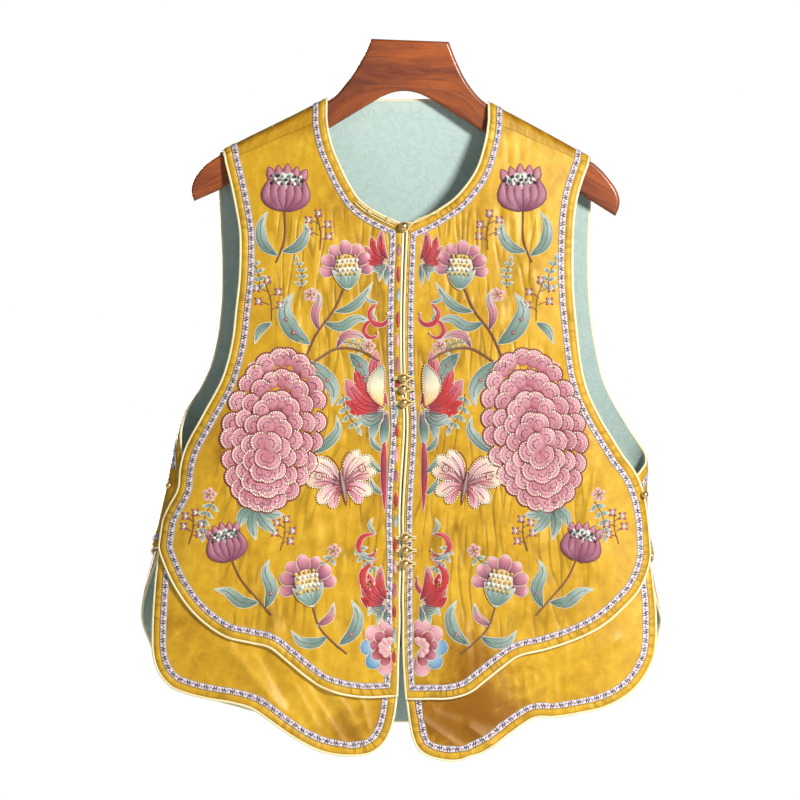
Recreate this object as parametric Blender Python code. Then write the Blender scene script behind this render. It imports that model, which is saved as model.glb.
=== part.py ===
"""An embroidered silk waistcoat on its wooden hanger, in Blender units of metres with +Z up.

The front faces -Y, and left and right are the viewer's: left is -X. The origin is the middle of the
hanger's flat top. Sizes and tables are in millimetres, and MM turns them into metres where a mesh is made.

Each cloth panel is drawn on a sheet, the surface that the cloth lies on. A sheet's point has two
coordinates: the angle round the body, and the height along the cloth, which goes on over the shoulder.
A panel's outline is moved in over its sheet three times, for the bound edge and for the two sides of its
ribbon, and a grid fills the rest. Ribbons, piping and linings are made from those same points, moved out
or in.
"""

import math
from collections import namedtuple

import bpy
import numpy as np
from mathutils import Vector

MM = 0.001

# Cloth and trim thicknesses, and the gaps that keep neighbouring pieces apart.
FRONT_WALL = 1.4
BACK_WALL = 1.2
LINING_WALL = 1.0
RIBBON_WALL = 0.6
SEAM_GAP = 0.3
TIER_GAP = 1.6
FRONT_OVER_BACK = 2.8
PIPING_RADIUS = 1.2
FRONT_TIER_DEPTH = FRONT_WALL + TIER_GAP
BACK_TIER_DEPTH = BACK_WALL + SEAM_GAP + LINING_WALL + TIER_GAP + 0.5

# Distances in from a finished edge: piping's middle, the cloth's own edge, the ribbon's two sides.
Bands = namedtuple("Bands", "piping cloth ribbon_out ribbon_in")
BOUND = Bands(1.2, 2.8, 8.7, 14.3)
BOUND_CENTRE_LEFT = Bands(1.2, 2.8, 7.8, 13.4)
BOUND_CENTRE_RIGHT = Bands(1.2, 2.8, 4.6, 10.0)
SEWN = Bands(SEAM_GAP, SEAM_GAP, SEAM_GAP, SEAM_GAP)
HIDDEN = Bands(0.0, 0.0, 0.0, 0.0)

# The body's outline from above at several heights: its two sides and its depth before and behind y = 0.
Section = namedtuple("Section", "height left right front back")
SECTIONS = [
    Section(-690, -255, 247, 39, 39),
    Section(-620, -254, 247, 38, 38),
    Section(-560, -253, 246, 37, 36),
    Section(-541, -252, 245, 36, 35),
    Section(-525, -250, 241, 36, 35),
    Section(-485, -240, 233, 36, 33),
    Section(-450, -231, 227, 36, 31),
    Section(-420, -224, 226, 36, 31),
    Section(-390, -218, 226, 36, 31),
    Section(-372, -213, 224, 36, 31),
    Section(-350, -207, 219, 36, 31),
    Section(-330, -204, 213, 36, 30),
    Section(-250, -203, 205, 33, 28),
    Section(-150, -203, 203, 27, 23),
    Section(-50, -203, 203, 22, 18),
]
SQUARENESS = 3.0
SPACING_HEIGHT = -450.0

# The top of the shoulders, and the front seam to which the back wraps over them.
RIDGE = [(-180, -107.3), (-143.7, -89), (-102.3, -68.8), (-73.5, -54), (77.2, -57), (115.3, -77.3),
         (139.5, -90.4), (180, -113.2)]
LEFT_SEAM = [(-72.5, -71.8), (-87.4, -78.3), (-122.8, -93.7), (-155.7, -108.1), (-168.3, -113.6)]
RIGHT_SEAM = [(171.6, -116.4), (160, -110.9), (125.6, -95.5), (91.1, -80.2), (77.2, -73.9)]
SHOULDER_RADIUS = 10.0
SHOULDER_FALL = 60.0
NECK_LEFT, NECK_RIGHT = -71.6, 77.2
SHOULDER_LEFT, SHOULDER_RIGHT = -174.5, 174.5
BACK_NECK_HEIGHT = -55.0
STRAP_START = 5.2
STRAP_TURNS = (60, 90, 120, 150)

# Folds: a soft ridge, or with a negative rise a trough, from one (x, z) to another.
Fold = namedtuple("Fold", "x0 z0 x1 z1 width rise")
FRONT_FOLDS = [
    Fold(-190, -410, -196, -500, 16, 2.2),
    Fold(164, -372, 168, -480, 16, 2.0),
    Fold(-104, -600, -72, -655, 13, -1.8),
    Fold(76, -606, 84, -660, 18, 1.8),
]
BACK_FOLDS = []
SWAY_RISE = 0.8
SWAY_LENGTH = 150.0
SWAY_TOP, SWAY_FULL = -380.0, -640.0

# Finished edges, as (x, z) seen from the front, each run in counterclockwise order round its panel.
LEFT_ARMHOLE = [(-168.3, -113.6), (-163.2, -134), (-158.2, -158), (-155, -178), (-154.4, -200), (-155.3, -224),
                (-158, -249), (-161.5, -280), (-171, -315.5), (-191.6, -354), (-206.9, -384.3), (-210.8, -402)]
LEFT_SIDE = [(-210.8, -402), (-212.4, -418), (-220.4, -433.6), (-226.4, -447), (-228.8, -460.5), (-230.6, -472.6)]
LEFT_TIER_OUTER = [(-230.6, -472.6), (-226, -487.5), (-213.9, -512.6), (-200, -532), (-183.7, -547),
                   (-167.4, -556.9), (-143.7, -562.8), (-127.4, -566.6)]
LEFT_TIER_INNER = [(-127.4, -566.6), (-111.6, -578.6), (-95.8, -591.7), (-80, -602.8), (-63.2, -609.3),
                   (-39.5, -613.1), (-6.2, -612)]
LEFT_CENTRE = [(-6.2, -612), (-5.1, -568), (-3.7, -500), (-2.8, -410), (-1.5, -327), (-0.3, -171.8)]
LEFT_NECK = [(-0.3, -171.8), (-14, -166.2), (-23.3, -161.5), (-32.5, -156.4), (-40.9, -149.6), (-51.2, -134.5),
             (-60.5, -115.5), (-67, -99.7), (-70.7, -84.8), (-72.5, -71.8)]

RIGHT_NECK = [(77.2, -73.9), (75.3, -88), (72.5, -100.6), (66, -120.2), (55.8, -136), (43.7, -149),
              (32.6, -156.6), (23.3, -162.3), (14, -167), (0.9, -173)]
RIGHT_CENTRE = [(0.9, -173), (-0.7, -327), (-1.5, -410), (-2.6, -500), (-2.7, -568), (-1.2, -598), (0, -614.9)]
RIGHT_TIER_INNER = [(0, -614.9), (22, -614.8), (43.7, -614), (59.5, -609.3), (75.3, -597.7), (91.1, -585.2),
                    (104.2, -575.9)]
RIGHT_TIER_OUTER = [(104.2, -575.9), (131.1, -568.9), (155.3, -561), (179.5, -549.8), (203.7, -530.3),
                    (216.7, -516.3), (225.3, -500), (229.7, -481)]
RIGHT_SIDE = [(229.7, -481), (228.8, -466), (227.6, -452), (226, -438), (224, -426), (220.5, -414)]
RIGHT_ARMHOLE = [(220.5, -414), (214.8, -401.9), (205.2, -388.9), (193.9, -371.3), (182.7, -352.7),
                 (173, -333.1), (166.5, -312.7), (161.8, -280.1), (158.6, -248.5), (157, -218), (157.4, -187),
                 (158.6, -166), (162, -145), (167.4, -127.6), (171.6, -116.4)]

LEFT_TIER_TOP = [(-6, -595), (-30, -596), (-60, -592), (-85, -578), (-108, -560), (-127.4, -549), (-160, -540),
                 (-180, -530), (-199, -512), (-211, -494), (-221, -481), (-232, -477.5)]
LEFT_TIER_SIDE = [(-232, -477.5), (-234.4, -498.7), (-235.8, -517.3), (-236.9, -535.9), (-237.4, -554.5),
                  (-237.2, -568.4), (-234.4, -582.4), (-228.8, -593.6)]
LEFT_HEM_OUTER = [(-228.8, -593.6), (-218.6, -603.8), (-202.7, -610.3), (-183.7, -614.9), (-160, -618.8),
                  (-144, -623.5)]
LEFT_HEM_INNER = [(-144, -623.5), (-127.4, -634.4), (-111.6, -645.6), (-95.8, -655.4), (-80, -662.6),
                  (-63.2, -666.6), (-47.4, -667.6), (-33, -665.5), (-20.5, -657)]
LEFT_TIER_CENTRE = [(-20.5, -657), (-13.5, -645), (-9.3, -629.8), (-7, -612), (-6, -595)]

RIGHT_TIER_TOP = [(231.5, -485.5), (221, -487), (209, -500), (196, -516), (172, -534), (150, -544), (127, -551),
                  (101, -559), (84, -571), (67, -587), (52, -595), (30, -598), (-1.6, -598)]
RIGHT_TIER_CENTRE = [(-1.6, -598), (0.2, -612), (1.9, -625), (3.8, -638), (6.4, -650), (12.5, -662)]
RIGHT_HEM_INNER = [(12.5, -662), (20.5, -667.4), (32, -671), (48.4, -672.2), (64.2, -668), (80, -660.5),
                   (97.7, -647.5), (110.7, -638.2), (120, -632.6)]
RIGHT_HEM_OUTER = [(120, -632.6), (139.5, -631.7), (163.7, -627.9), (184.1, -623.3), (201.8, -615.4),
                   (216.7, -603.8), (227.9, -588.5)]
RIGHT_TIER_SIDE = [(227.9, -588.5), (233.8, -575), (236.2, -558), (236.4, -541), (235.8, -524), (233.6, -503),
                   (231.5, -485.5)]

# Edges of the back. The third column is the half of the body they lie on, because the back wraps round
# each side to pass under the front's edge.
BEHIND, AT_SIDE, BEFORE = 1, 0, -1
BACK_LEFT_ARMHOLE = [(-174, -140, BEHIND), (-172.4, -175, BEHIND), (-171, -215, BEHIND), (-172, -248, BEHIND),
                     (-176, -280, BEHIND), (-185, -311, BEHIND), (-195.3, -330, BEHIND), (-203.4, -342, BEHIND),
                     (-207.6, -352, AT_SIDE), (-209.6, -366, BEFORE), (-208, -382, BEFORE), (-205.5, -397, BEFORE)]
BACK_LEFT_SIDE = [(-205.5, -397, BEFORE), (-200.5, -410, BEFORE), (-201, -424, BEFORE), (-208, -438, BEFORE),
                  (-214, -450, BEFORE), (-218, -462, BEFORE), (-220, -474, BEFORE)]
BACK_TIER_LINE = [
    [(-220, -474, BEFORE), (-236, -476, AT_SIDE), (-233, -483, BEHIND), (-222, -500, BEHIND), (-200, -531, BEHIND),
     (-160, -556, BEHIND), (-125, -566, BEHIND)],
    [(-125, -566, BEHIND), (-90, -577, BEHIND), (-45, -584, BEHIND), (0, -586, BEHIND), (45, -584, BEHIND),
     (90, -577, BEHIND), (125, -566, BEHIND)],
    [(125, -566, BEHIND), (160, -556, BEHIND), (200, -532, BEHIND), (220, -505, BEHIND), (228, -491, BEHIND),
     (231, -483, AT_SIDE), (217, -481, BEFORE)],
]
BACK_RIGHT_SIDE = [(217, -481, BEFORE), (214, -468, BEFORE), (211, -453, BEFORE), (208, -438, BEFORE),
                   (207.5, -426, BEFORE), (211.5, -414, BEFORE)]
BACK_RIGHT_ARMHOLE = [(211.5, -414, BEFORE), (217, -405, BEFORE), (222.5, -398.5, BEFORE),
                      (226, -389.5, AT_SIDE), (222.7, -380.5, BEHIND), (216.3, -370.5, BEHIND),
                      (205, -352.7, BEHIND), (195.3, -336.4, BEHIND), (187.5, -320, BEHIND), (180.5, -293, BEHIND),
                      (175.5, -265, BEHIND), (172.8, -235, BEHIND), (171.8, -200, BEHIND), (172.8, -170, BEHIND),
                      (174.3, -145, BEHIND)]
BACK_TIER_SIDE_LEFT = [(-226.5, -466, BEFORE), (-230, -478, BEFORE), (-235, -494, BEFORE),
                       (-240.5, -508, BEFORE), (-244.8, -520, BEFORE), (-247.2, -530.5, AT_SIDE),
                       (-246.6, -542, BEHIND), (-243.5, -553, BEHIND), (-236, -571, BEHIND),
                       (-226, -588, BEHIND), (-213, -600.5, BEHIND)]
BACK_HEM = [
    [(-213, -600.5, BEHIND), (-198, -610, BEHIND), (-178.6, -617.5, BEHIND), (-158, -623, BEHIND), (-140, -628, BEHIND)],
    [(-140, -628, BEHIND), (-110, -634, BEHIND), (-60, -637, BEHIND), (0, -637.6, BEHIND), (60, -637, BEHIND),
     (107, -634, BEHIND), (140, -628, BEHIND)],
    [(140, -628, BEHIND), (163, -623, BEHIND), (181.4, -617.7, BEHIND), (198, -611.5, BEHIND),
     (210, -603.5, BEHIND)],
]
BACK_TIER_SIDE_RIGHT = [(210, -603.5, BEHIND), (220.5, -593, BEHIND), (229, -579, BEHIND), (236, -563, BEHIND), (239.8, -548, BEHIND), (239.8, -535, AT_SIDE),
                        (235, -522, BEFORE), (231.8, -508, BEFORE), (228.3, -492, BEFORE), (224, -473, BEFORE)]
BACK_TIER_TOP = [(224, -473, BEFORE), (230, -472, AT_SIDE), (222, -476, BEHIND), (198, -494, BEHIND),
                 (158, -525, BEHIND), (125, -540, BEHIND), (90, -552, BEHIND), (45, -562, BEHIND),
                 (0, -566, BEHIND), (-45, -562, BEHIND), (-90, -552, BEHIND), (-125, -540, BEHIND),
                 (-158, -525, BEHIND), (-198, -490, BEHIND), (-224, -470, BEHIND), (-234, -466, AT_SIDE),
                 (-226.5, -466, BEFORE)]

# Ball buttons: where the middle of each lies, seen from the front.
BALL_RADIUS = 3.9
NECK_BALL_RADIUS = 4.4
SIDE_BALL_RADIUS = 3.2
CHEST_BUTTONS = [(-1.3, -315.5), (-1.3, -325.7), (-0.6, -338.4)]
WAIST_BUTTONS = [(0.5, -463.8), (0.9, -475.9), (0.5, -488)]
NECK_BUTTON = (-0.9, -175)
LOOP_RADIUS = 0.8
LOOP_LEVEL = 2.0
LOOP_TAIL = 10.0
NECK_CORD_LENGTH = 36.0
NECK_CORD_SLOPE = math.radians(25)
NECK_KNOTS = [(-32.6, -162.5), (-15.5, -170.5)]
KNOT_RADIUS = 2.2
SIDE_BUTTON_LEFT = (-218, -416)
SIDE_BUTTON_RIGHT = (221, -424)

# The hanger, drawn in the plane y = 0.
HANGER_HALF_THICKNESS = 5.0
HANGER_ROUNDING = 3.0
HANGER_NECK_LEFT = [(-31.6, 1.2), (-36.3, -10.4), (-41.9, -20.6), (-49.3, -32.7), (-57.7, -43.5), (-66, -53),
                    (-74, -58)]
HANGER_ARM_LEFT = [(-74, -58), (-125, -83.7), (-174.8, -108.4)]
HANGER_END_LEFT = [(-174.8, -108.4), (-183.2, -114), (-191.6, -122), (-197.5, -131), (-199.7, -141.3),
                   (-197.4, -150.5)]
HANGER_UNDER = [(-197.4, -150.5), (-174.8, -140.6), (-71.6, -83), (-22.3, -53.2)]
HANGER_ARCH = [(-22.3, -53.2), (-11, -48.8), (0, -47.6), (12, -49.6), (23.2, -54.6)]
HANGER_UNDER_RIGHT = [(23.2, -54.6), (74.4, -86.7), (174.8, -150.8), (196.2, -164.3)]
HANGER_END_RIGHT = [(196.2, -164.3), (199.4, -157), (200.3, -149), (197, -139.2), (191.6, -131.3),
                    (185.1, -123.4), (176.7, -115.4)]
HANGER_ARM_RIGHT = [(176.7, -115.4), (128, -88), (80, -62)]
HANGER_NECK_RIGHT = [(80, -62), (70.5, -55), (63, -46.5), (55, -34.5), (48.5, -21), (40.9, -1.6)]

Look = namedtuple("Look", "colour roughness metallic")
SILK = Look((0.62, 0.38, 0.07), 0.42, 0.0)
LINING = Look((0.44, 0.60, 0.56), 0.5, 0.0)
RIBBON = Look((0.86, 0.80, 0.80), 0.7, 0.0)
PIPING = Look((0.84, 0.76, 0.52), 0.5, 0.0)
BRASS = Look((0.72, 0.50, 0.20), 0.3, 1.0)
CORD = Look((0.80, 0.70, 0.42), 0.6, 0.0)
WOOD = Look((0.33, 0.10, 0.045), 0.3, 0.0)


# ---------------------------------------------------------------- curves and the surface of the cloth

def smooth_between(at, stations, values):
    """Values read off a smooth curve through the stations."""
    stations, values = np.asarray(stations, float), np.asarray(values, float)
    slopes = np.gradient(values, stations)
    at = np.clip(at, stations[0], stations[-1])
    i = np.clip(np.searchsorted(stations, at) - 1, 0, len(stations) - 2)
    step = stations[i + 1] - stations[i]
    t = (at - stations[i]) / step
    start, end = 2 * t**3 - 3 * t**2 + 1, 3 * t**2 - 2 * t**3
    rise, fall = t**3 - 2 * t**2 + t, t**3 - t**2
    return start * values[i] + end * values[i + 1] + step * (rise * slopes[i] + fall * slopes[i + 1])


def lengths_along(points):
    """The distance along a line from its start to each of its points."""
    return np.concatenate([[0], np.cumsum(np.linalg.norm(np.diff(points, axis=0), axis=1))])


def smooth_line(points, count, along=None):
    """The given number of points, evenly spaced on a smooth curve through a table's points."""
    points = np.asarray(points, float)
    along = lengths_along(points) if along is None else along
    at = np.linspace(0, along[-1], count)
    return np.column_stack([smooth_between(at, along, column) for column in points.T])


def section_at(height, name):
    return smooth_between(height, [s.height for s in SECTIONS], [getattr(s, name) for s in SECTIONS])


def ridge_height(x):
    return np.interp(x, *np.array(RIDGE).T)


def arc_start(x):
    """The height on the back at which the cloth starts to turn over the shoulder."""
    return ridge_height(x) - SHOULDER_RADIUS


def ease(value):
    value = np.clip(value, 0, 1)
    return value * value * (3 - 2 * value)


def fold_rise(folds, x, z):
    """How far the folds and the sway towards the hem push the cloth out."""
    rise = SWAY_RISE * np.sin(2 * math.pi * x / SWAY_LENGTH) * ease((z - SWAY_TOP) / (SWAY_FULL - SWAY_TOP))
    for fold in folds:
        run = np.array([fold.x1 - fold.x0, fold.z1 - fold.z0])
        length = np.linalg.norm(run)
        along = ((x - fold.x0) * run[0] + (z - fold.z0) * run[1]) / length
        across = ((x - fold.x0) * run[1] - (z - fold.z0) * run[0]) / length
        fade = ease(1 + along / (2 * fold.width)) * ease(1 + (length - along) / (2 * fold.width))
        rise = rise + fold.rise * fade * np.exp(-((across / fold.width) ** 2))
    return rise


class Sheet:
    """The surface that one side of the garment lies on. Its outer face points away from the body."""

    def __init__(self, facing, over, folds):
        self.facing, self.over, self.folds = facing, over, folds
        # Angles, and how far round the body each lies, for spacing a grid evenly over the cloth.
        self.angles = np.linspace(-math.pi, math.pi, 721)
        self.girths = lengths_along(self.point(self.angles, np.full(721, SPACING_HEIGHT)))

    def by_girth(self, line):
        return np.column_stack([np.interp(line[:, 0], self.angles, self.girths), line[:, 1]])

    def by_angle(self, grid):
        return np.stack([np.interp(grid[..., 0], self.girths, self.angles), grid[..., 1]], axis=-1)

    def half_width(self, height):
        left, right = section_at(height, "left"), section_at(height, "right")
        return (left + right) / 2, (right - left) / 2 + self.over

    def angle(self, x, height, half=None):
        """The angle, from the middle of this sheet, of the point with this x on one half of the body."""
        middle, width = self.half_width(np.minimum(height, -100))
        share = np.clip((x - middle) / width, -0.9999, 0.9999)
        power = np.abs(share) ** SQUARENESS
        tilt = np.sign(share) * np.arctan((power / (1 - power)) ** (1 / SQUARENESS))
        if half is None:
            return tilt
        turned = np.where(half == self.facing, tilt, np.sign(share) * math.pi - tilt)
        return np.where(half == AT_SIDE, np.sign(share) * math.pi / 2, turned)

    def hanging(self, angle, height):
        """x and y of the cloth that hangs below the shoulders."""
        middle, width = self.half_width(np.minimum(height, -100))
        reach = (np.abs(np.cos(angle)) ** SQUARENESS + np.abs(np.sin(angle)) ** SQUARENESS) ** (-1 / SQUARENESS)
        x = middle + width * reach * np.sin(angle)
        out = fold_rise(self.folds, x, height)
        ahead = self.facing * np.cos(angle) > 0
        depth = np.where(ahead, section_at(height, "back"), section_at(height, "front")) + self.over + out
        y = self.facing * depth * reach * np.cos(angle)
        narrow = np.exp(-np.maximum(arc_start(x) - height, 0) / SHOULDER_FALL)
        return x, y * (1 - narrow) + np.clip(y / 8, -1, 1) * SHOULDER_RADIUS * narrow

    def point(self, angle, height):
        """Points in mm. On the back sheet the cloth turns over the shoulder, but not between the neck points."""
        angle, height = np.asarray(angle, float), np.asarray(height, float)
        x, y = self.hanging(angle, height)
        if self.facing == BEFORE:
            return np.stack([x, y, height], axis=-1)
        start = arc_start(x)
        past = np.maximum(height - start, 0)
        turn = np.minimum(past / SHOULDER_RADIUS, math.pi)
        beyond = np.maximum(past - math.pi * SHOULDER_RADIUS, 0)
        front_y = FRONT_SHEET.hanging(FRONT_SHEET.angle(x, start - beyond), start - beyond)[1]
        over_y = np.where(beyond > 0, front_y, SHOULDER_RADIUS * np.cos(turn))
        over_z = start + SHOULDER_RADIUS * np.sin(turn) - beyond
        outside = np.maximum(NECK_LEFT - x, x - NECK_RIGHT)
        rolled = np.where(past > 0, ease(1 + outside / 12), 0)
        return np.stack([x, y + rolled * (over_y - y), height + rolled * (over_z - height)], axis=-1)

    def slopes(self, at):
        """Change of the point with each coordinate, for an array of (angle, height)."""
        angle, height = at[..., 0], at[..., 1]
        turn, rise = 0.0005, 0.1
        by_angle = (self.point(angle + turn, height) - self.point(angle - turn, height)) / (2 * turn)
        by_height = (self.point(angle, height + rise) - self.point(angle, height - rise)) / (2 * rise)
        return by_angle, by_height

    def normal(self, at):
        by_angle, by_height = self.slopes(at)
        out = -self.facing * np.cross(by_angle, by_height)
        return out / np.linalg.norm(out, axis=-1, keepdims=True)

    def locate(self, table):
        """(angle, height) of a table's points."""
        table = np.asarray(table, float)
        half = table[:, 2] if table.shape[1] > 2 else np.full(len(table), self.facing)
        return np.column_stack([self.angle(table[:, 0], table[:, 1], half), table[:, 1]])


FRONT_SHEET = Sheet(BEFORE, FRONT_OVER_BACK, FRONT_FOLDS)
BACK_SHEET = Sheet(BEHIND, 0.0, BACK_FOLDS)
BACK_TIER_SHEET = Sheet(BEHIND, -BACK_TIER_DEPTH, BACK_FOLDS)


# ---------------------------------------------------------------- panels

Run = namedtuple("Run", "name steps points")
Side = namedtuple("Side", "bands runs")
DENSE = 40
INSET_PASSES = 3
OVERRUN = 16.0


def moved_in(sheet, line, distance):
    """A line on the sheet, moved over the cloth to its left by the distance."""
    for _ in range(INSET_PASSES if distance else 0):
        by_angle, by_height = sheet.slopes(line)
        along_angle = np.linalg.norm(by_angle, axis=1)
        across = by_angle / along_angle[:, None]
        skew = (by_height * across).sum(axis=1)
        up = by_height - skew[:, None] * across
        along_up = np.linalg.norm(up, axis=1)
        up /= along_up[:, None]
        heading = np.gradient(sheet.point(*line.T), axis=0)
        heading = np.column_stack([(heading * across).sum(axis=1), (heading * up).sum(axis=1)])
        heading /= np.linalg.norm(heading, axis=1)[:, None]
        step = distance / INSET_PASSES
        height_step = heading[:, 0] * step / along_up
        angle_step = (-heading[:, 1] * step - skew * height_step) / along_angle
        line = line + np.column_stack([angle_step, height_step])
    return line


def longer(sheet, line):
    """The line with both its ends carried on straight, far enough to cross its neighbours."""
    lengths = np.linalg.norm(np.diff(sheet.point(*line.T), axis=0), axis=1)
    start = line[0] - (line[1] - line[0]) * OVERRUN / lengths[0]
    end = line[-1] + (line[-1] - line[-2]) * OVERRUN / lengths[-1]
    return np.vstack([start, line, end])


def meeting(first, second):
    """Where the first line, near its end, crosses the second: fractional places on both."""
    a, b = first[:-1, None], (first[1:] - first[:-1])[:, None]
    c, d = second[None, :-1], (second[1:] - second[:-1])[None]
    gap = c - a
    under = b[..., 0] * d[..., 1] - b[..., 1] * d[..., 0]
    under = np.where(np.abs(under) < 1e-12, 1e-12, under)
    s = (gap[..., 0] * d[..., 1] - gap[..., 1] * d[..., 0]) / under
    t = (gap[..., 0] * b[..., 1] - gap[..., 1] * b[..., 0]) / under
    rows, columns = np.nonzero((s >= 0) & (s <= 1) & (t >= 0) & (t <= 1))
    if not len(rows):
        raise ValueError("two neighbouring edges of a panel do not meet")
    best = np.argmin(np.abs(len(first) - 1 - rows) + columns)
    row, column = rows[best], columns[best]
    return row + s[row, column], column + t[row, column]


def read(line, places):
    """The points at fractional places on a line."""
    return np.column_stack([np.interp(places, np.arange(len(line)), column) for column in line.T])


def even_places(sheet, line, start, end, steps):
    """Fractional places on a line, evenly spaced over the cloth."""
    places = np.concatenate([[start], np.arange(math.floor(start) + 1, math.ceil(end)), [end]])
    along = lengths_along(sheet.point(*read(line, places).T))
    return np.interp(np.linspace(0, along[-1], steps + 1), along, places)


def dense_side(sheet, side):
    """One smooth line through all of a side's runs, and the places on it where they join."""
    tables = [sheet.locate(run.points) for run in side.runs]
    table = np.vstack([tables[0]] + [part[1:] for part in tables[1:]])
    along = lengths_along(sheet.point(*table.T))
    count = DENSE * len(tables)
    knots = np.cumsum([len(part) - 1 for part in tables])[:-1]
    return smooth_line(table, count, along), [1 + along[k] / along[-1] * (count - 1) for k in knots]


def outlines(sheet, sides):
    """For each distance in Bands, the panel's outline there: one array of points for each run, by its name.

    The cloth's own edge is divided evenly, and the other lines are divided opposite those points.
    """
    dense = [dense_side(sheet, side) for side in sides]
    lines, stops = [], []
    for band in range(len(BOUND)):
        moved = [longer(sheet, moved_in(sheet, line, side.bands[band])) for (line, _), side in zip(dense, sides)]
        places = [meeting(moved[i], moved[(i + 1) % len(moved)]) for i in range(len(moved))]
        lines.append(moved)
        stops.append([[places[i - 1][1], *dense[i][1], places[i][0]] for i in range(len(sides))])
    result = [{} for _ in lines]
    cloth = BOUND._fields.index("cloth")
    for i, side in enumerate(sides):
        for j, run in enumerate(side.runs):
            start, end = stops[cloth][i][j:j + 2]
            even = even_places(sheet, lines[cloth][i], start, end, run.steps)
            share = (even - start) / (end - start)
            for band in range(len(lines)):
                start, end = stops[band][i][j:j + 2]
                result[band][run.name] = read(lines[band][i], start + share * (end - start))
    return Bands(*result)


def chain(outline, names):
    """The points of several runs in order, with each joint once."""
    runs = [outline[name] for name in names]
    return np.vstack([runs[0]] + [run[1:] for run in runs[1:]])


def filled(left, bottom, right, top):
    """A grid between four lines that share their corners: rows from top to bottom, columns left to right."""
    v = np.linspace(0, 1, len(left))[:, None, None]
    u = np.linspace(0, 1, len(top))[None, :, None]
    sides = (1 - u) * left[:, None] + u * right[:, None]
    ends = (1 - v) * top[None] + v * bottom[None]
    corners = (1 - v) * ((1 - u) * top[0] + u * top[-1]) + v * ((1 - u) * bottom[0] + u * bottom[-1])
    return sides + ends - corners


class Panel:
    """One cut piece of cloth: its points on the sheet, and the faces between them."""

    def __init__(self, sheet, sides, left, bottom, right, top, collar_rows=0):
        self.sheet = sheet
        self.outline = outlines(sheet, sides)
        self.names = [*left, *bottom, *right]
        rings = [chain(line, self.names) for line in (self.outline.cloth, self.outline.ribbon_out)]
        rim = chain(self.outline.ribbon_in, self.names)
        rows = len(chain(self.outline.ribbon_in, left))
        columns = len(chain(self.outline.ribbon_in, bottom))
        even = sheet.by_girth(rim)
        left_rim, bottom_rim, right_rim = even[:rows], even[rows - 1:rows + columns - 1], even[rows + columns - 2:][::-1]
        top_line = sheet.by_girth(chain(self.outline.ribbon_in, top)[::-1])
        # The rows of a collar keep the top line's shape, and the rest is filled below the last of them.
        collar = [top_line + (left_rim[i] - left_rim[0]) * [0, 1] for i in range(collar_rows + 1)]
        for i, row in enumerate(collar):
            row[0], row[-1] = left_rim[i], right_rim[i]
        body = filled(left_rim[collar_rows:], bottom_rim, right_rim[collar_rows:], collar[-1])
        self.grid = sheet.by_angle(np.concatenate([np.array(collar[:-1]).reshape(-1, len(top_line), 2), body]))
        self.at = list(rings[0]) + list(rings[1]) + list(self.grid.reshape(-1, 2))
        self.faces = []
        self.ring = len(rim)
        self.add_rings(rows, columns)
        self.add_cells()

    def cell(self, row, column):
        """The number of a grid point."""
        return 2 * self.ring + row * self.grid.shape[1] + column

    def add_rings(self, rows, columns):
        last_row, last_column = rows - 1, columns - 1
        rim = [self.cell(i, 0) for i in range(rows)]
        rim += [self.cell(last_row, j) for j in range(1, columns)]
        rim += [self.cell(i, last_column) for i in range(last_row - 1, -1, -1)]
        outer = list(range(self.ring))
        middle = [self.ring + i for i in outer]
        for one, other in ((outer, middle), (middle, rim)):
            self.faces += [(one[i], one[i + 1], other[i + 1], other[i]) for i in range(self.ring - 1)]

    def add_cells(self):
        rows, columns = self.grid.shape[:2]
        for i in range(rows - 1):
            for j in range(columns - 1):
                square = (self.cell(i, j), self.cell(i + 1, j), self.cell(i + 1, j + 1), self.cell(i, j + 1))
                self.faces.append(square)

    def add_strap(self, top_points, rows):
        """Carries the cloth on from the numbered points of the top row, through rows of new points."""
        before = list(top_points)
        for row in rows:
            new = [len(self.at) + j for j in range(len(row))]
            self.at += list(row)
            self.faces += [(new[j], before[j], before[j + 1], new[j + 1]) for j in range(len(row) - 1)]
            before = new


def wall(name, sheet, at, faces, depth, thickness, look):
    """A closed wall of cloth. Its outer face lies the depth inside the sheet, at the numbered points."""
    at = np.asarray(at)
    normals = sheet.normal(at)
    outer = sheet.point(*at.T) - depth * normals
    inner = outer - thickness * normals
    triangles = [part for a, b, c, d in faces for part in ((a, b, c), (a, c, d))]
    if sheet.facing == BEHIND:
        triangles = [part[::-1] for part in triangles]
    steps = {(a, b) for part in triangles for a, b in zip(part, part[1:] + part[:1])}
    rim = sorted((a, b) for a, b in steps if (b, a) not in steps)
    under = len(outer)
    below = [tuple(under + i for i in part[::-1]) for part in triangles]
    return made(name, np.vstack([outer, inner]), triangles + below + [(b, a, under + a, under + b) for a, b in rim],
                look)


def made(name, points, faces, look):
    mesh = bpy.data.meshes.new(name)
    mesh.from_pydata([tuple(p) for p in points * MM], [], faces)
    return finished(bpy.data.objects.new(name, mesh), look)


def finished(obj, look):
    """Adds an object to the part, with its material."""
    material = bpy.data.materials.new(obj.name)
    material.use_nodes = True
    shader = material.node_tree.nodes["Principled BSDF"]
    shader.inputs["Base Color"].default_value = (*look.colour, 1)
    shader.inputs["Roughness"].default_value = look.roughness
    shader.inputs["Metallic"].default_value = look.metallic
    obj.data.materials.append(material)
    if obj.type == "MESH":
        obj.data.shade_smooth()
    PART.objects.link(obj)
    return obj


def trimmed_ends(rails, cut):
    """Shortens a strip or a line, given as arrays of its points, by the cut at both ends."""
    rails = [rail.copy() for rail in rails]
    length = np.linalg.norm(rails[0][1] - rails[0][0]), np.linalg.norm(rails[0][-1] - rails[0][-2])
    for rail in rails:
        rail[0] += (rail[1] - rail[0]) * cut / length[0]
        rail[-1] += (rail[-2] - rail[-1]) * cut / length[1]
    return rails


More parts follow.
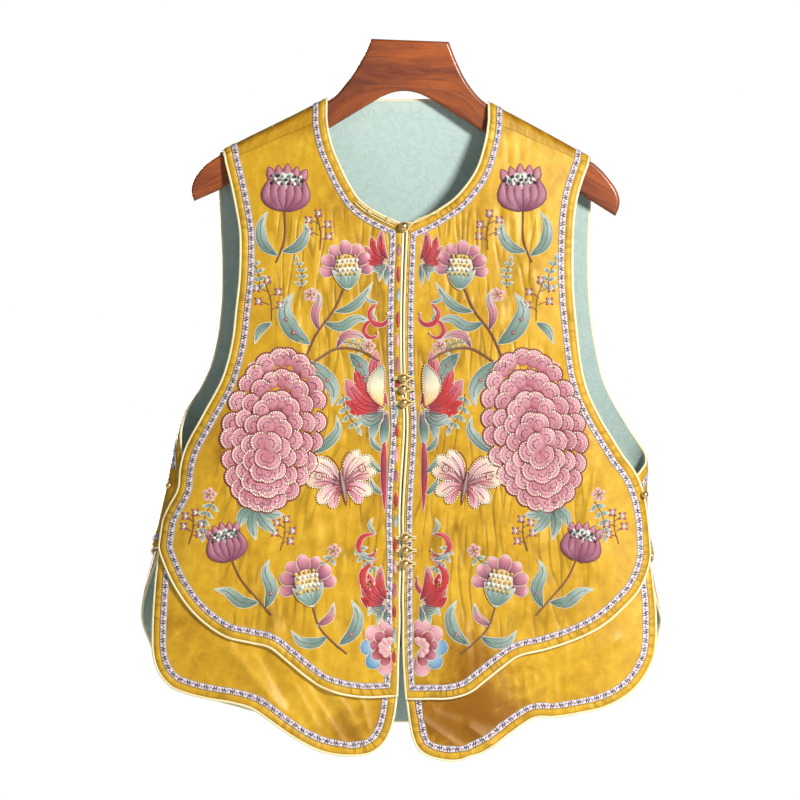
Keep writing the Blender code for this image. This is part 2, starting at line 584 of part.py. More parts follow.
def ribbon(name, outer, inner, cut=SEAM_GAP / 2):
    """A flat ribbon between two lines of (points, normals), clear of the cloth below it."""
    low = [points + SEAM_GAP * normals for points, normals in (outer, inner)]
    high = [points + (SEAM_GAP + RIBBON_WALL) * normals for points, normals in (inner, outer)]
    rails = trimmed_ends([*low, *high], cut)
    numbers, first = [], 0
    for rail in rails:
        # A line that turns a corner on one point repeats it, and its faces there are triangles.
        moves = np.any(np.diff(rail, axis=0) != 0, axis=1)
        numbers.append(first + np.concatenate([[0], np.cumsum(moves)]))
        first = numbers[-1][-1] + 1
    points = np.empty((first, 3))
    for rail, number in zip(rails, numbers):
        points[number] = rail
    faces = [tuple(number[0] for number in numbers), tuple(number[-1] for number in numbers[::-1])]
    for one, other in zip(numbers, numbers[1:] + numbers[:1]):
        for i in range(len(one) - 1):
            for part in ((one[i], one[i + 1], other[i + 1]), (one[i], other[i + 1], other[i])):
                if len(set(part)) == 3:
                    faces.append(part)
    obj = made(name, points, [tuple(int(v) for v in face) for face in faces], RIBBON)
    face_outward(obj.data)
    return obj


def face_outward(mesh):
    """Turns a closed mesh's faces round if it encloses less than nothing."""
    volume = 0.0
    for polygon in mesh.polygons:
        corners = [mesh.vertices[i].co for i in polygon.vertices]
        for second, third in zip(corners[1:], corners[2:]):
            volume += corners[0].dot(second.cross(third))
    if volume < 0:
        mesh.flip_normals()


def tube(name, points, radius, look, sides=1):
    """A round cord through the points, with closed ends."""
    curve = bpy.data.curves.new(name, "CURVE")
    curve.dimensions = "3D"
    curve.bevel_depth = radius * MM
    curve.bevel_resolution = sides
    curve.use_fill_caps = True
    spline = curve.splines.new("POLY")
    spline.points.add(len(points) - 1)
    for place, point in zip(spline.points, points):
        place.co = (*(point * MM), 1)
    return finished(bpy.data.objects.new(name, curve), look)


def piping(name, points, cut=SEAM_GAP / 2):
    return tube(name, trimmed_ends([points], cut)[0], PIPING_RADIUS, PIPING)


def raised(sheet, at, depth=0.0):
    """(points, normals) of places on a sheet, at a depth below it."""
    normals = sheet.normal(at)
    return sheet.point(*at.T) - depth * normals, normals


def joined(*parts):
    """Several (points, normals) one after another."""
    return tuple(np.vstack(columns) for columns in zip(*parts))


# ---------------------------------------------------------------- the garment's pieces

def front_panels():
    """Both fronts, upper layer and lower tier: name, panel, depth, wall."""
    left = Panel(
        FRONT_SHEET,
        [
            Side(BOUND, [Run("armhole", 12, LEFT_ARMHOLE), Run("side", 3, LEFT_SIDE)]),
            Side(BOUND, [Run("tier_side", 4, LEFT_TIER_OUTER[:4]), Run("tier_outer", 4, LEFT_TIER_OUTER[3:]),
                         Run("tier_inner", 6, LEFT_TIER_INNER)]),
            Side(BOUND_CENTRE_LEFT, [Run("centre", 7, LEFT_CENTRE)]),
            Side(BOUND, [Run("neck", 8, LEFT_NECK)]),
            Side(SEWN, [Run("seam", 14, LEFT_SEAM)]),
        ],
        ["armhole", "side"], ["tier_side", "tier_outer", "tier_inner"], ["centre", "neck"], ["seam"],
    )
    right = Panel(
        FRONT_SHEET,
        [
            Side(BOUND, [Run("neck", 8, RIGHT_NECK)]),
            Side(BOUND_CENTRE_RIGHT, [Run("centre", 7, RIGHT_CENTRE)]),
            Side(BOUND, [Run("tier_inner", 6, RIGHT_TIER_INNER), Run("tier_outer", 4, RIGHT_TIER_OUTER[:5]),
                         Run("tier_side", 4, RIGHT_TIER_OUTER[4:])]),
            Side(BOUND, [Run("side", 3, RIGHT_SIDE), Run("armhole", 12, RIGHT_ARMHOLE)]),
            Side(SEWN, [Run("seam", 14, RIGHT_SEAM)]),
        ],
        ["neck", "centre"], ["tier_inner", "tier_outer", "tier_side"], ["side", "armhole"], ["seam"],
    )
    tier_left = Panel(
        FRONT_SHEET,
        [
            Side(BOUND, [Run("side", 5, LEFT_TIER_SIDE), Run("hem_outer", 7, LEFT_HEM_OUTER),
                         Run("hem_inner", 9, LEFT_HEM_INNER), Run("centre", 5, LEFT_TIER_CENTRE)]),
            Side(HIDDEN, [Run("top", 16, LEFT_TIER_TOP)]),
        ],
        ["side"], ["hem_outer", "hem_inner"], ["centre"], ["top"],
    )
    tier_right = Panel(
        FRONT_SHEET,
        [
            Side(BOUND, [Run("centre", 5, RIGHT_TIER_CENTRE), Run("hem_inner", 9, RIGHT_HEM_INNER),
                         Run("hem_outer", 7, RIGHT_HEM_OUTER), Run("side", 5, RIGHT_TIER_SIDE)]),
            Side(HIDDEN, [Run("top", 16, RIGHT_TIER_TOP)]),
        ],
        ["centre"], ["hem_inner", "hem_outer"], ["side"], ["top"],
    )
    return {"front_left": (left, 0.0), "front_right": (right, 0.0),
            "tier_front_left": (tier_left, FRONT_TIER_DEPTH), "tier_front_right": (tier_right, FRONT_TIER_DEPTH)}


def strap_top(x_from, x_to, count=12):
    """A stretch of the line, on the back of the shoulder, from which the strap goes on over it."""
    xs = np.linspace(x_from, x_to, count)
    return [(x, arc_start(x) + STRAP_START, BEHIND) for x in xs]


def back_neck():
    """The back's neck edge, between the two straps, from right to left. It is the cloth's own edge."""
    right, left = NECK_RIGHT + BOUND.cloth, NECK_LEFT - BOUND.cloth
    heights = [arc_start(x) + STRAP_START for x in (right, left)]
    low = BACK_NECK_HEIGHT - BOUND.cloth
    return [(right, heights[0], BEHIND), (right - 22, low - 1, BEHIND), (0, low, BEHIND),
            (left + 22, low - 1, BEHIND), (left, heights[1], BEHIND)]


BACK_TIER_RUNS = ["wrap_left", "tier_left", "tier_middle", "tier_right", "wrap_right"]
SHOULDER_COLUMNS = 6
STRAPS = {"left": (SHOULDER_LEFT, NECK_LEFT, LEFT_SEAM), "right": (SHOULDER_RIGHT, NECK_RIGHT, RIGHT_SEAM)}


def back_panel():
    """The back's upper layer, with the straps that wrap over the shoulders to the front seams."""
    band_xs = [BOUND.ribbon_in, BOUND.ribbon_out, BOUND.cloth]
    top_runs = [Run("shoulder_right", SHOULDER_COLUMNS, strap_top(SHOULDER_RIGHT, NECK_RIGHT + band_xs[0]))]
    for i in range(2):
        top_runs.append(Run(f"neck_band_right_{i}", 1, strap_top(NECK_RIGHT + band_xs[i], NECK_RIGHT + band_xs[i + 1])))
    top_runs.append(Run("back_neck", 6, back_neck()))
    for i in (1, 0):
        top_runs.append(Run(f"neck_band_left_{i}", 1, strap_top(NECK_LEFT - band_xs[i + 1], NECK_LEFT - band_xs[i])))
    top_runs.append(Run("shoulder_left", SHOULDER_COLUMNS, strap_top(NECK_LEFT - band_xs[0], SHOULDER_LEFT)))

    collar_depth = BOUND.ribbon_in - BOUND.cloth
    yoke_left = [(SHOULDER_LEFT, arc_start(SHOULDER_LEFT) + STRAP_START - drop, BEHIND)
                 for drop in np.linspace(0, collar_depth, 4)]
    yoke_right = [(SHOULDER_RIGHT, arc_start(SHOULDER_RIGHT) + STRAP_START - drop, BEHIND)
                  for drop in np.linspace(collar_depth, 0, 4)]
    panel = Panel(
        BACK_SHEET,
        [
            Side(BOUND, [Run("yoke_left", 2, yoke_left),
                         Run("armhole_left", 10, [yoke_left[-1], *BACK_LEFT_ARMHOLE]),
                         Run("side_left", 3, BACK_LEFT_SIDE)]),
            Side(BOUND, [Run("wrap_left", 6, BACK_TIER_LINE[0][:4]), Run("tier_left", 3, BACK_TIER_LINE[0][3:]),
                         Run("tier_middle", 4, BACK_TIER_LINE[1]), Run("tier_right", 3, BACK_TIER_LINE[2][:4]),
                         Run("wrap_right", 6, BACK_TIER_LINE[2][3:])]),
            Side(BOUND, [Run("side_right", 3, BACK_RIGHT_SIDE),
                         Run("armhole_right", 10, [*BACK_RIGHT_ARMHOLE, yoke_right[0]]),
                         Run("yoke_right", 2, yoke_right)]),
            Side(HIDDEN, top_runs),
        ],
        ["yoke_left", "armhole_left", "side_left"], BACK_TIER_RUNS, ["side_right", "armhole_right", "yoke_right"], [run.name for run in top_runs], collar_rows=2,
    )
    return panel


def seam_along(x, seam):
    """The height along the cloth at which the strap reaches the front seam."""
    table = np.array(sorted(seam))
    drop = arc_start(x) - np.interp(x, *table.T)
    return arc_start(x) + math.pi * SHOULDER_RADIUS + drop


def strap_line(x_top, x_seam, seam):
    """A line over the shoulder: (angle, height) at each turn of the strap and at the front seam."""
    xs = x_top + (x_seam - x_top) * np.linspace(0, 1, len(STRAP_TURNS) + 2)[1:]
    alongs = [arc_start(x) + math.radians(turn) * SHOULDER_RADIUS for x, turn in zip(xs, STRAP_TURNS)]
    alongs.append(seam_along(xs[-1], seam))
    return np.column_stack([BACK_SHEET.angle(xs, np.full(len(xs), -100.0)), alongs])


def strap_edges(side, front):
    """For the armhole's edge and the neck's edge of a strap, by band: its x on the back and at the front seam."""
    shoulder, neck, _ = STRAPS[side]
    inward = 1 if side == "left" else -1
    at_seam = {"armhole": 0, "neck": -1} if side == "left" else {"armhole": -1, "neck": 0}
    tables = []
    for edge, start, sign in (("armhole", shoulder, inward), ("neck", neck, -inward)):
        table = {}
        for band, distance in BOUND._asdict().items():
            end = getattr(front.outline, band)[edge][at_seam[edge]]
            table[band] = np.array([start + sign * distance, FRONT_SHEET.point(*end)[0]])
        tables.append(table)
    return tables


def add_straps(panel, fronts):
    """Adds both straps to the back. It returns the lines over each shoulder beside the armhole and the neck."""
    columns = panel.grid.shape[1] - 1
    lines = {}
    for side, (_, _, seam) in STRAPS.items():
        arm, collar = strap_edges(side, fronts[f"front_{side}"][0])
        lines[side] = [{band: strap_line(*xs, seam) for band, xs in table.items()} for table in (arm, collar)]
        shares = np.arange(1, SHOULDER_COLUMNS) / SHOULDER_COLUMNS
        middle = [arm["ribbon_in"] + (collar["ribbon_in"] - arm["ribbon_in"]) * share for share in shares]
        xs = [arm["cloth"], arm["ribbon_out"], arm["ribbon_in"], *middle,
              collar["ribbon_in"], collar["ribbon_out"], collar["cloth"]]
        across = [strap_line(*pair, seam) for pair in xs]
        edge = 0 if side == "left" else panel.ring - 1
        numbers = [edge, panel.ring + edge]
        numbers += [panel.cell(0, j if side == "left" else columns - j) for j in range(SHOULDER_COLUMNS + 3)]
        if side == "right":
            across, numbers = across[::-1], numbers[::-1]
        panel.add_strap(numbers, list(np.stack(across, axis=1)))
    return lines


def back_tier_panel():
    return Panel(
        BACK_TIER_SHEET,
        [
            Side(BOUND, [Run("side_left", 9, BACK_TIER_SIDE_LEFT), Run("hem_left", 5, BACK_HEM[0]),
                         Run("hem_middle", 6, BACK_HEM[1]), Run("hem_right", 5, BACK_HEM[2]),
                         Run("side_right", 9, BACK_TIER_SIDE_RIGHT)]),
            Side(HIDDEN, [Run("top_right", 4, BACK_TIER_TOP[:3]), Run("top_middle", 8, BACK_TIER_TOP[2:-2]),
                          Run("top_left", 4, BACK_TIER_TOP[-3:])]),
        ],
        ["side_left"], ["hem_left", "hem_middle", "hem_right"], ["side_right"],
        ["top_right", "top_middle", "top_left"],
    )


def edge_strip(panel, names, depth):
    """The two sides of the ribbon along some runs of a panel, each as (points, normals)."""
    return [raised(panel.sheet, chain(line, names), depth)
            for line in (panel.outline.ribbon_out, panel.outline.ribbon_in)]


def edge_cord(panel, names, depth):
    """(points, normals) of the piping's middle along some runs of a panel."""
    return raised(panel.sheet, chain(panel.outline.piping, names), depth)


def make_cloth():
    fronts = front_panels()
    back, tier_back = back_panel(), back_tier_panel()
    main_faces, main_points = list(back.faces), list(back.at)
    straps = add_straps(back, fronts)
    for name, (panel, depth) in fronts.items():
        wall(name, FRONT_SHEET, panel.at, panel.faces, depth, FRONT_WALL, SILK)
    lining_depth = BACK_WALL + SEAM_GAP
    wall("back", BACK_SHEET, back.at, back.faces, 0.0, BACK_WALL, SILK)
    wall("lining_back", BACK_SHEET, main_points, main_faces, lining_depth, LINING_WALL, LINING)
    wall("tier_back", BACK_TIER_SHEET, tier_back.at, tier_back.faces, 0.0, BACK_WALL, SILK)
    wall("lining_tier_back", BACK_TIER_SHEET, tier_back.at, tier_back.faces, lining_depth, LINING_WALL, LINING)
    make_front_edges(fronts)
    make_back_edges(back, tier_back)
    make_armholes(fronts, back, straps)
    make_neck(fronts, back, straps)


def make_front_edges(fronts):
    """Ribbon and piping down the side, along the bottom and up the centre of each front and tier."""
    runs = {
        "front_left": ["side", "tier_side", "tier_outer", "tier_inner", "centre"],
        "front_right": ["centre", "tier_inner", "tier_outer", "tier_side", "side"],
        "tier_front_left": ["side", "hem_outer", "hem_inner", "centre"],
        "tier_front_right": ["centre", "hem_inner", "hem_outer", "side"],
    }
    for name, (panel, depth) in fronts.items():
        ribbon(f"ribbon_{name}", *edge_strip(panel, runs[name], depth))
        points, _ = edge_cord(panel, runs[name], depth + FRONT_WALL / 2)
        piping(f"piping_{name}", shortened_at_neck(name, points))


def shortened_at_neck(name, points):
    """Ends a front's piping short of the neck corner, where the neck's own piping passes."""
    reach = 2.6
    if name == "front_left":
        points = points[::-1]
    if name.startswith("front"):
        step = points[1] - points[0]
        points = points.copy()
        points[0] += step / np.linalg.norm(step) * reach
    return points[::-1] if name == "front_left" else points


def make_back_edges(back, tier_back):
    thick = BACK_WALL + SEAM_GAP + LINING_WALL
    hem_names = ["side_left", "hem_left", "hem_middle", "hem_right", "side_right"]
    ribbon("ribbon_back", *edge_strip(back, BACK_TIER_RUNS, 0.0))
    piping("piping_back", edge_cord(back, BACK_TIER_RUNS, thick / 2)[0])
    ribbon("ribbon_tier_back", *edge_strip(tier_back, hem_names, 0.0))
    piping("piping_tier_back", edge_cord(tier_back, hem_names, thick / 2)[0])


def make_armholes(fronts, back, straps):
    """Ribbon and piping all round each armhole, from the front's side edge over the shoulder to the back's."""
    for side in ("left", "right"):
        front = fronts[f"front_{side}"][0]
        names = [f"yoke_{side}", f"armhole_{side}"]
        if side == "right":
            names.reverse()
        lines = {}
        for band in ("piping", "ribbon_out", "ribbon_in"):
            over = straps[side][0][band]
            front_line = getattr(front.outline, band)["armhole"]
            back_line = chain(getattr(back.outline, band), names)
            if side == "left":
                front_line, over = front_line[::-1], over[::-1]
            else:
                over, back_line = over[::-1], back_line[::-1]
            depth_front, depth_back = 0.0, 0.0
            if band == "piping":
                depth_front, depth_back = FRONT_WALL / 2, (BACK_WALL + SEAM_GAP + LINING_WALL) / 2
            front_part = raised(FRONT_SHEET, front_line, depth_front)
            over_part = raised(BACK_SHEET, over, depth_front)
            lines[band] = joined(front_part, over_part, raised(BACK_SHEET, back_line, depth_back))
        ribbon(f"ribbon_armhole_{side}", lines["ribbon_out"], lines["ribbon_in"])
        piping(f"piping_armhole_{side}", lines["piping"][0])


def back_neck_lines(back):
    """The lines of the neck's piping and ribbon across the back, from the left strap to the right."""
    grid, last = back.grid, back.grid.shape[1] - 1
    at_in, at_out, at_cloth = SHOULDER_COLUMNS, SHOULDER_COLUMNS + 1, SHOULDER_COLUMNS + 2
    piped = grid[0, at_cloth:last - at_cloth + 1] + [0, BOUND.cloth - BOUND.piping]
    piped[0][0] = BACK_SHEET.angle(NECK_LEFT - BOUND.piping, -100.0)
    piped[-1][0] = BACK_SHEET.angle(NECK_RIGHT + BOUND.piping, -100.0)
    # The ribbon turns each corner on one point of its neck side and on three of the other.
    outer = [(0, at_out), (1, at_out), (1, at_out)] + [(1, j) for j in range(at_out, last - at_out + 1)]
    outer += [(1, last - at_out), (1, last - at_out), (0, last - at_out)]
    inner = [(0, at_in), (1, at_in)] + [(2, j) for j in range(at_in, last - at_in + 1)]
    inner += [(1, last - at_in), (0, last - at_in)]
    return {"piping": piped, "ribbon_out": np.array([grid[c] for c in outer]),
            "ribbon_in": np.array([grid[c] for c in inner])}


def make_neck(fronts, back, straps):
    """Ribbon and piping round the neck: left front, strap, back, strap, right front."""
    left_front, right_front = fronts["front_left"][0], fronts["front_right"][0]
    lines = {}
    for band, across in back_neck_lines(back).items():
        depth_front, depth_back = 0.0, 0.0
        if band == "piping":
            depth_front, depth_back = FRONT_WALL / 2, (BACK_WALL + SEAM_GAP + LINING_WALL) / 2
        lines[band] = joined(
            raised(FRONT_SHEET, getattr(left_front.outline, band)["neck"], depth_front),
            raised(BACK_SHEET, straps["left"][1][band][::-1], depth_front),
            raised(BACK_SHEET, across, depth_back),
            raised(BACK_SHEET, straps["right"][1][band], depth_front),
            raised(FRONT_SHEET, getattr(right_front.outline, band)["neck"], depth_front),
        )
    ribbon("ribbon_neck", lines["ribbon_out"], lines["ribbon_in"])
    piping("piping_neck", lines["piping"][0])


def seat(sheet, x, z, half=None):
    """A place on the cloth: its point, and unit vectors along it to the right, up, and out of it."""
    at = np.array([[float(sheet.angle(x, z, half)), z]])
    point, normal = raised(sheet, at)
    up = np.array([0, 0, 1.0]) - normal[0][2] * normal[0]
    up /= np.linalg.norm(up)
    return point[0], np.cross(up, normal[0]), up, normal[0]


def ball(name, place, radius, lift=0.0):
    """A ball that rests above a place on the cloth, clear of the piping there."""
    point, _, _, out = place
    centre = point + out * (PIPING_RADIUS - FRONT_WALL / 2 + SEAM_GAP + radius + lift)
    bpy.ops.mesh.primitive_uv_sphere_add(segments=10, ring_count=7, radius=radius * MM, location=centre * MM)
    obj = bpy.context.object
    obj.name = obj.data.name = name
    for collection in obj.users_collection:
        collection.objects.unlink(obj)
    return finished(obj, BRASS)


def cord_loop(place, radius, heading, length):
    """A loop whose two tails run side by side from the ball, towards a heading in radians."""
    along = np.array([math.cos(heading), math.sin(heading)])
    across = np.array([-along[1], along[0]]) * (LOOP_RADIUS + SEAM_GAP / 2)
    point, right, up, out = place
    rise = PIPING_RADIUS - FRONT_WALL / 2 + SEAM_GAP + radius
    turn = math.sqrt((radius + LOOP_RADIUS + SEAM_GAP) ** 2 - (rise - LOOP_LEVEL) ** 2)
    angles = heading + np.radians(np.linspace(34, 326, 7))
    flat = [along * length + across, along * (turn + 1.8) + across * 1.15]
    flat += [np.array([math.cos(a), math.sin(a)]) * turn for a in angles]
    flat += [along * (turn + 1.8) - across * 1.15, along * length - across]
    return np.array([point + right * a + up * b + out * LOOP_LEVEL for a, b in flat])


def make_fastenings():
    for group, places in (("chest", CHEST_BUTTONS), ("waist", WAIST_BUTTONS)):
        for i, (x, z) in enumerate(places):
            place = seat(FRONT_SHEET, x, z)
            ball(f"button_{group}_{i + 1}", place, BALL_RADIUS)
            tube(f"loop_{group}_{i + 1}", cord_loop(place, BALL_RADIUS, 0.0, LOOP_TAIL), LOOP_RADIUS, CORD)
    neck = seat(FRONT_SHEET, *NECK_BUTTON)
    ball("button_neck", neck, NECK_BALL_RADIUS)
    tube("loop_neck", cord_loop(neck, NECK_BALL_RADIUS, NECK_CORD_SLOPE, NECK_CORD_LENGTH), LOOP_RADIUS, CORD)
    for i, (x, z) in enumerate(NECK_KNOTS):
        ball(f"knot_neck_{i + 1}", seat(FRONT_SHEET, x, z), KNOT_RADIUS)
    on_cloth = FRONT_WALL / 2 - PIPING_RADIUS
    ball("button_side_left", seat(BACK_SHEET, *SIDE_BUTTON_LEFT, BEFORE), SIDE_BALL_RADIUS, on_cloth)
    ball("button_side_right", seat(FRONT_SHEET, *SIDE_BUTTON_RIGHT), SIDE_BALL_RADIUS)


def make_hanger():
    outline = [smooth_line(HANGER_NECK_LEFT, 9), smooth_line(HANGER_ARM_LEFT, 3), smooth_line(HANGER_END_LEFT, 7),
               np.array(HANGER_UNDER), smooth_line(HANGER_ARCH, 7), np.array(HANGER_UNDER_RIGHT),
               smooth_line(HANGER_END_RIGHT, 8), smooth_line(HANGER_ARM_RIGHT, 3), smooth_line(HANGER_NECK_RIGHT, 8)]
    points = np.vstack([part[:-1] for part in outline[:-1]] + [outline[-1]])
    points = move_in_flat(points, HANGER_ROUNDING)
    curve = bpy.data.curves.new("hanger", "CURVE")
    curve.dimensions = "2D"
    curve.fill_mode = "BOTH"
    curve.extrude = (HANGER_HALF_THICKNESS - HANGER_ROUNDING) * MM
    curve.bevel_depth = HANGER_ROUNDING * MM
    curve.bevel_resolution = 1
    spline = curve.splines.new("POLY")
    spline.points.add(len(points) - 1)
    for place, (x, z) in zip(spline.points, points):
        place.co = (x * MM, z * MM, 0, 1)
    spline.use_cyclic_u = True
    hanger = finished(bpy.data.objects.new("hanger", curve), WOOD)
    hanger.rotation_euler = (math.pi / 2, 0, 0)


def move_in_flat(points, distance):
    """A closed outline drawn with the inside on its left, moved in by the distance with mitred corners."""
    before, after = np.roll(points, 1, axis=0), np.roll(points, -1, axis=0)
    def left_of(step):
        step = step / np.linalg.norm(step, axis=1)[:, None]
        return np.column_stack([-step[:, 1], step[:, 0]])
    one, other = left_of(points - before), left_of(after - points)
    middle = one + other
    return points + middle * (distance * 2 / (middle**2).sum(axis=1))[:, None]


for leftover in list(bpy.data.objects):
    bpy.data.objects.remove(leftover)
PART = bpy.data.collections.new("embroidered_waistcoat")
bpy.context.scene.collection.children.link(PART)
make_cloth()
make_fastenings()
make_hanger()
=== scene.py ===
"""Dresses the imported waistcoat: silk, lining, ribbons, piping, embroidery, buttons and hanger.

Sizes are in millimetres and +Z is up, as in the part's own source: the front faces -Y, and left and right
are the viewer's. MM turns them into metres where a mesh is made.
"""

import functools
import math
from collections import namedtuple

import bpy
import numpy as np
from bpy.props import FloatProperty, FloatVectorProperty, PointerProperty
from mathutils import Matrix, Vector


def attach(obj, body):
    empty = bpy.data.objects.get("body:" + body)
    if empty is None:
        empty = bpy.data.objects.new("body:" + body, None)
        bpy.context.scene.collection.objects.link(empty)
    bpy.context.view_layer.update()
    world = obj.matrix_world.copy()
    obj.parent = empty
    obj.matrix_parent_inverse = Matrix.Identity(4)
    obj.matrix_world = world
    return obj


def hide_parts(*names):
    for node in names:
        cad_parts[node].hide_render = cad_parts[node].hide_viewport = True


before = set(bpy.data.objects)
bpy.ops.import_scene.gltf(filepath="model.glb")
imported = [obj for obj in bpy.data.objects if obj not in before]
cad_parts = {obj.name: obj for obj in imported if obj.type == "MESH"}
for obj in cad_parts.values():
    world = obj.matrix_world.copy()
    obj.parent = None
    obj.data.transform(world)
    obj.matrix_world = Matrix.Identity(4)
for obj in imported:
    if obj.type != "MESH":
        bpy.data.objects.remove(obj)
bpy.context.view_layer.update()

bl_info = {
    "name": "Embroidered waistcoat",
    "version": (1, 0, 0),
    "blender": (4, 5, 0),
    "location": "View3D > Sidebar > Waistcoat",
    "description": "Builds the fine surface of an embroidered waistcoat on its hanger",
    "category": "Object",
}

MM = 0.001
BODY = "root"
BOTH = ("left", "right")

# Cloth and trim thicknesses, and the gaps that keep neighbouring pieces apart.
FRONT_WALL = 1.4
BACK_WALL = 1.2
LINING_WALL = 1.0
SEAM_GAP = 0.3
TIER_GAP = 1.6
FRONT_OVER_BACK = 2.8
PIPING_RADIUS = 1.2
LINING_DEPTH = BACK_WALL + SEAM_GAP
FRONT_TIER_DEPTH = FRONT_WALL + TIER_GAP
BACK_TIER_DEPTH = LINING_DEPTH + LINING_WALL + TIER_GAP + 0.5
BACK_CORD_DEPTH = (LINING_DEPTH + LINING_WALL) / 2

# Distances in from a finished edge: piping's middle, the cloth's own edge, the ribbon's two sides.
Bands = namedtuple("Bands", "piping cloth ribbon_out ribbon_in")
BOUND = Bands(1.2, 2.8, 8.7, 14.3)
BOUND_CENTRE_LEFT = Bands(1.2, 2.8, 7.8, 13.4)
BOUND_CENTRE_RIGHT = Bands(1.2, 2.8, 4.6, 10.0)
SEWN = Bands(SEAM_GAP, SEAM_GAP, SEAM_GAP, SEAM_GAP)
HIDDEN = Bands(0.0, 0.0, 0.0, 0.0)

# The body's outline from above at several heights: its two sides and its depth before and behind y = 0.
Section = namedtuple("Section", "height left right front back")
SECTIONS = [Section(*row) for row in (
    (-690, -255, 247, 39, 39),
    (-620, -254, 247, 38, 38),
    (-560, -253, 246, 37, 36),
    (-541, -252, 245, 36, 35),
    (-525, -250, 241, 36, 35),
    (-485, -240, 233, 36, 33),
    (-450, -231, 227, 36, 31),
    (-420, -224, 226, 36, 31),
    (-390, -218, 226, 36, 31),
    (-372, -213, 224, 36, 31),
    (-350, -207, 219, 36, 31),
    (-330, -204, 213, 36, 30),
    (-250, -203, 205, 33, 28),
    (-150, -203, 203, 27, 23),
    (-50, -203, 203, 22, 18),
)]
SQUARENESS = 3.0
SPACING_HEIGHT = -450.0

# The top of the shoulders, and the front seam to which the back wraps over them.
RIDGE = [
    (-180, -107.3), (-143.7, -89), (-102.3, -68.8), (-73.5, -54), (77.2, -57), (115.3, -77.3),
    (139.5, -90.4), (180, -113.2),
]
LEFT_SEAM = [(-72.5, -71.8), (-87.4, -78.3), (-122.8, -93.7), (-155.7, -108.1), (-168.3, -113.6)]
RIGHT_SEAM = [(171.6, -116.4), (160, -110.9), (125.6, -95.5), (91.1, -80.2), (77.2, -73.9)]
SHOULDER_RADIUS = 10.0
SHOULDER_FALL = 60.0
SHOULDER_LEVEL = -100.0
NECK_LEFT, NECK_RIGHT = -71.6, 77.2
SHOULDER_LEFT, SHOULDER_RIGHT = -174.5, 174.5
BACK_NECK_HEIGHT = -55.0
STRAP_START = 5.2
STRAP_TURNS = (60, 90, 120, 150)

# Folds: a soft ridge, or with a negative rise a trough, from one (x, z) to another.
Fold = namedtuple("Fold", "x0 z0 x1 z1 width rise")
FRONT_FOLDS = [Fold(*row) for row in (
    (-190, -410, -196, -500, 16, 2.2),
    (164, -372, 168, -480, 16, 2.0),
    (-104, -600, -72, -655, 13, -1.8),
    (76, -606, 84, -660, 18, 1.8),
    (-166, -564, -120, -620, 6, 2.0),
    (-102, -603, -81, -641, 4.6, 1.8),
    (-85, -600, -49, -654, 4.8, -2.2),
    (-70, -600, -36, -652, 4.6, 1.6),
    (-41, -615, -34, -641, 4.4, 1.8),
    (-132, -574, -108, -618, 4.6, -1.8),
    (60, -640, 96, -668, 5, 2.4),
    (16, -634, 58, -664, 4.6, 1.8),
    (34, -622, 88, -640, 4.4, -1.6),
    (150, -590, 196, -560, 5.5, 2.0),
    (-150, -300, -172, -395, 6, 1.5),
    (150, -292, 160, -372, 6, 1.3),
    (-30, -505, -46, -585, 5, 1.3),
    (40, -520, 58, -590, 5, 1.3),
)]
BACK_FOLDS = [Fold(*row) for row in (
    (-96, -215, -112, -430, 9, -1.6),
    (-58, -260, -50, -520, 8, 1.3),
    (-6, -240, -16, -480, 10, -1.5),
    (44, -290, 52, -560, 8, 1.5),
    (98, -225, 120, -440, 9, -1.7),
    (140, -400, 160, -535, 7, 1.4),
    (-150, -400, -172, -525, 7, 1.6),
    (-152, -330, -118, -376, 5, 1.3),
    (150, -322, 122, -370, 5, 1.2),
    (-122, -185, -84, -255, 6, 1.3),
    (118, -188, 78, -268, 6, 1.3),
    (-90, -588, -104, -652, 6, 2.0),
    (-20, -606, -8, -656, 6, -1.7),
    (66, -596, 84, -652, 6, 2.0),
    (150, -566, 168, -622, 5, 1.8),
    (-158, -560, -180, -606, 5, -1.6),
)]
# Short pleats side by side, from one x to another.
Pleats = namedtuple("Pleats", "x0 x1 count top foot lean")
PLEATS = [Pleats(*row) for row in (
    (-62, -24, 6, -172, -196, 1),
    (20, 62, 6, -172, -198, -1),
    (84, 116, 4, -78, -106, 2),
    (-116, -84, 4, -80, -104, -2),
    (88, 126, 5, -158, -186, 1),
    (97, 144, 6, -588, -606, 2),
)]
PLEAT_WIDTH, PLEAT_RISE = 2.8, -1.1
FRONT_PUCKERS, BACK_PUCKERS = 80, 36
SWAY_RISE = 0.8
SWAY_LENGTH = 150.0
SWAY_TOP, SWAY_FULL = -380.0, -640.0

# Finished edges, as (x, z) seen from the front, each in counterclockwise order round its panel.
LEFT_ARMHOLE = [
    (-168.3, -113.6), (-163.2, -134), (-158.2, -158), (-155, -178), (-154.4, -200), (-155.3, -224),
    (-158, -249), (-161.5, -280), (-171, -315.5), (-191.6, -354), (-206.9, -384.3), (-210.8, -402),
]
LEFT_SIDE = [
    (-210.8, -402), (-212.4, -418), (-220.4, -433.6), (-226.4, -447), (-228.8, -460.5), (-230.6, -472.6),
]
LEFT_TIER_OUTER = [
    (-230.6, -472.6), (-226, -487.5), (-213.9, -512.6), (-200, -532), (-183.7, -547), (-167.4, -556.9),
    (-143.7, -562.8), (-127.4, -566.6),
]
LEFT_TIER_INNER = [
    (-127.4, -566.6), (-111.6, -578.6), (-95.8, -591.7), (-80, -602.8), (-63.2, -609.3), (-39.5, -613.1),
    (-6.2, -612),
]
LEFT_CENTRE = [(-6.2, -612), (-5.1, -568), (-3.7, -500), (-2.8, -410), (-1.5, -327), (-0.3, -171.8)]
LEFT_NECK = [
    (-0.3, -171.8), (-14, -166.2), (-23.3, -161.5), (-32.5, -156.4), (-40.9, -149.6), (-51.2, -134.5),
    (-60.5, -115.5), (-67, -99.7), (-70.7, -84.8), (-72.5, -71.8),
]

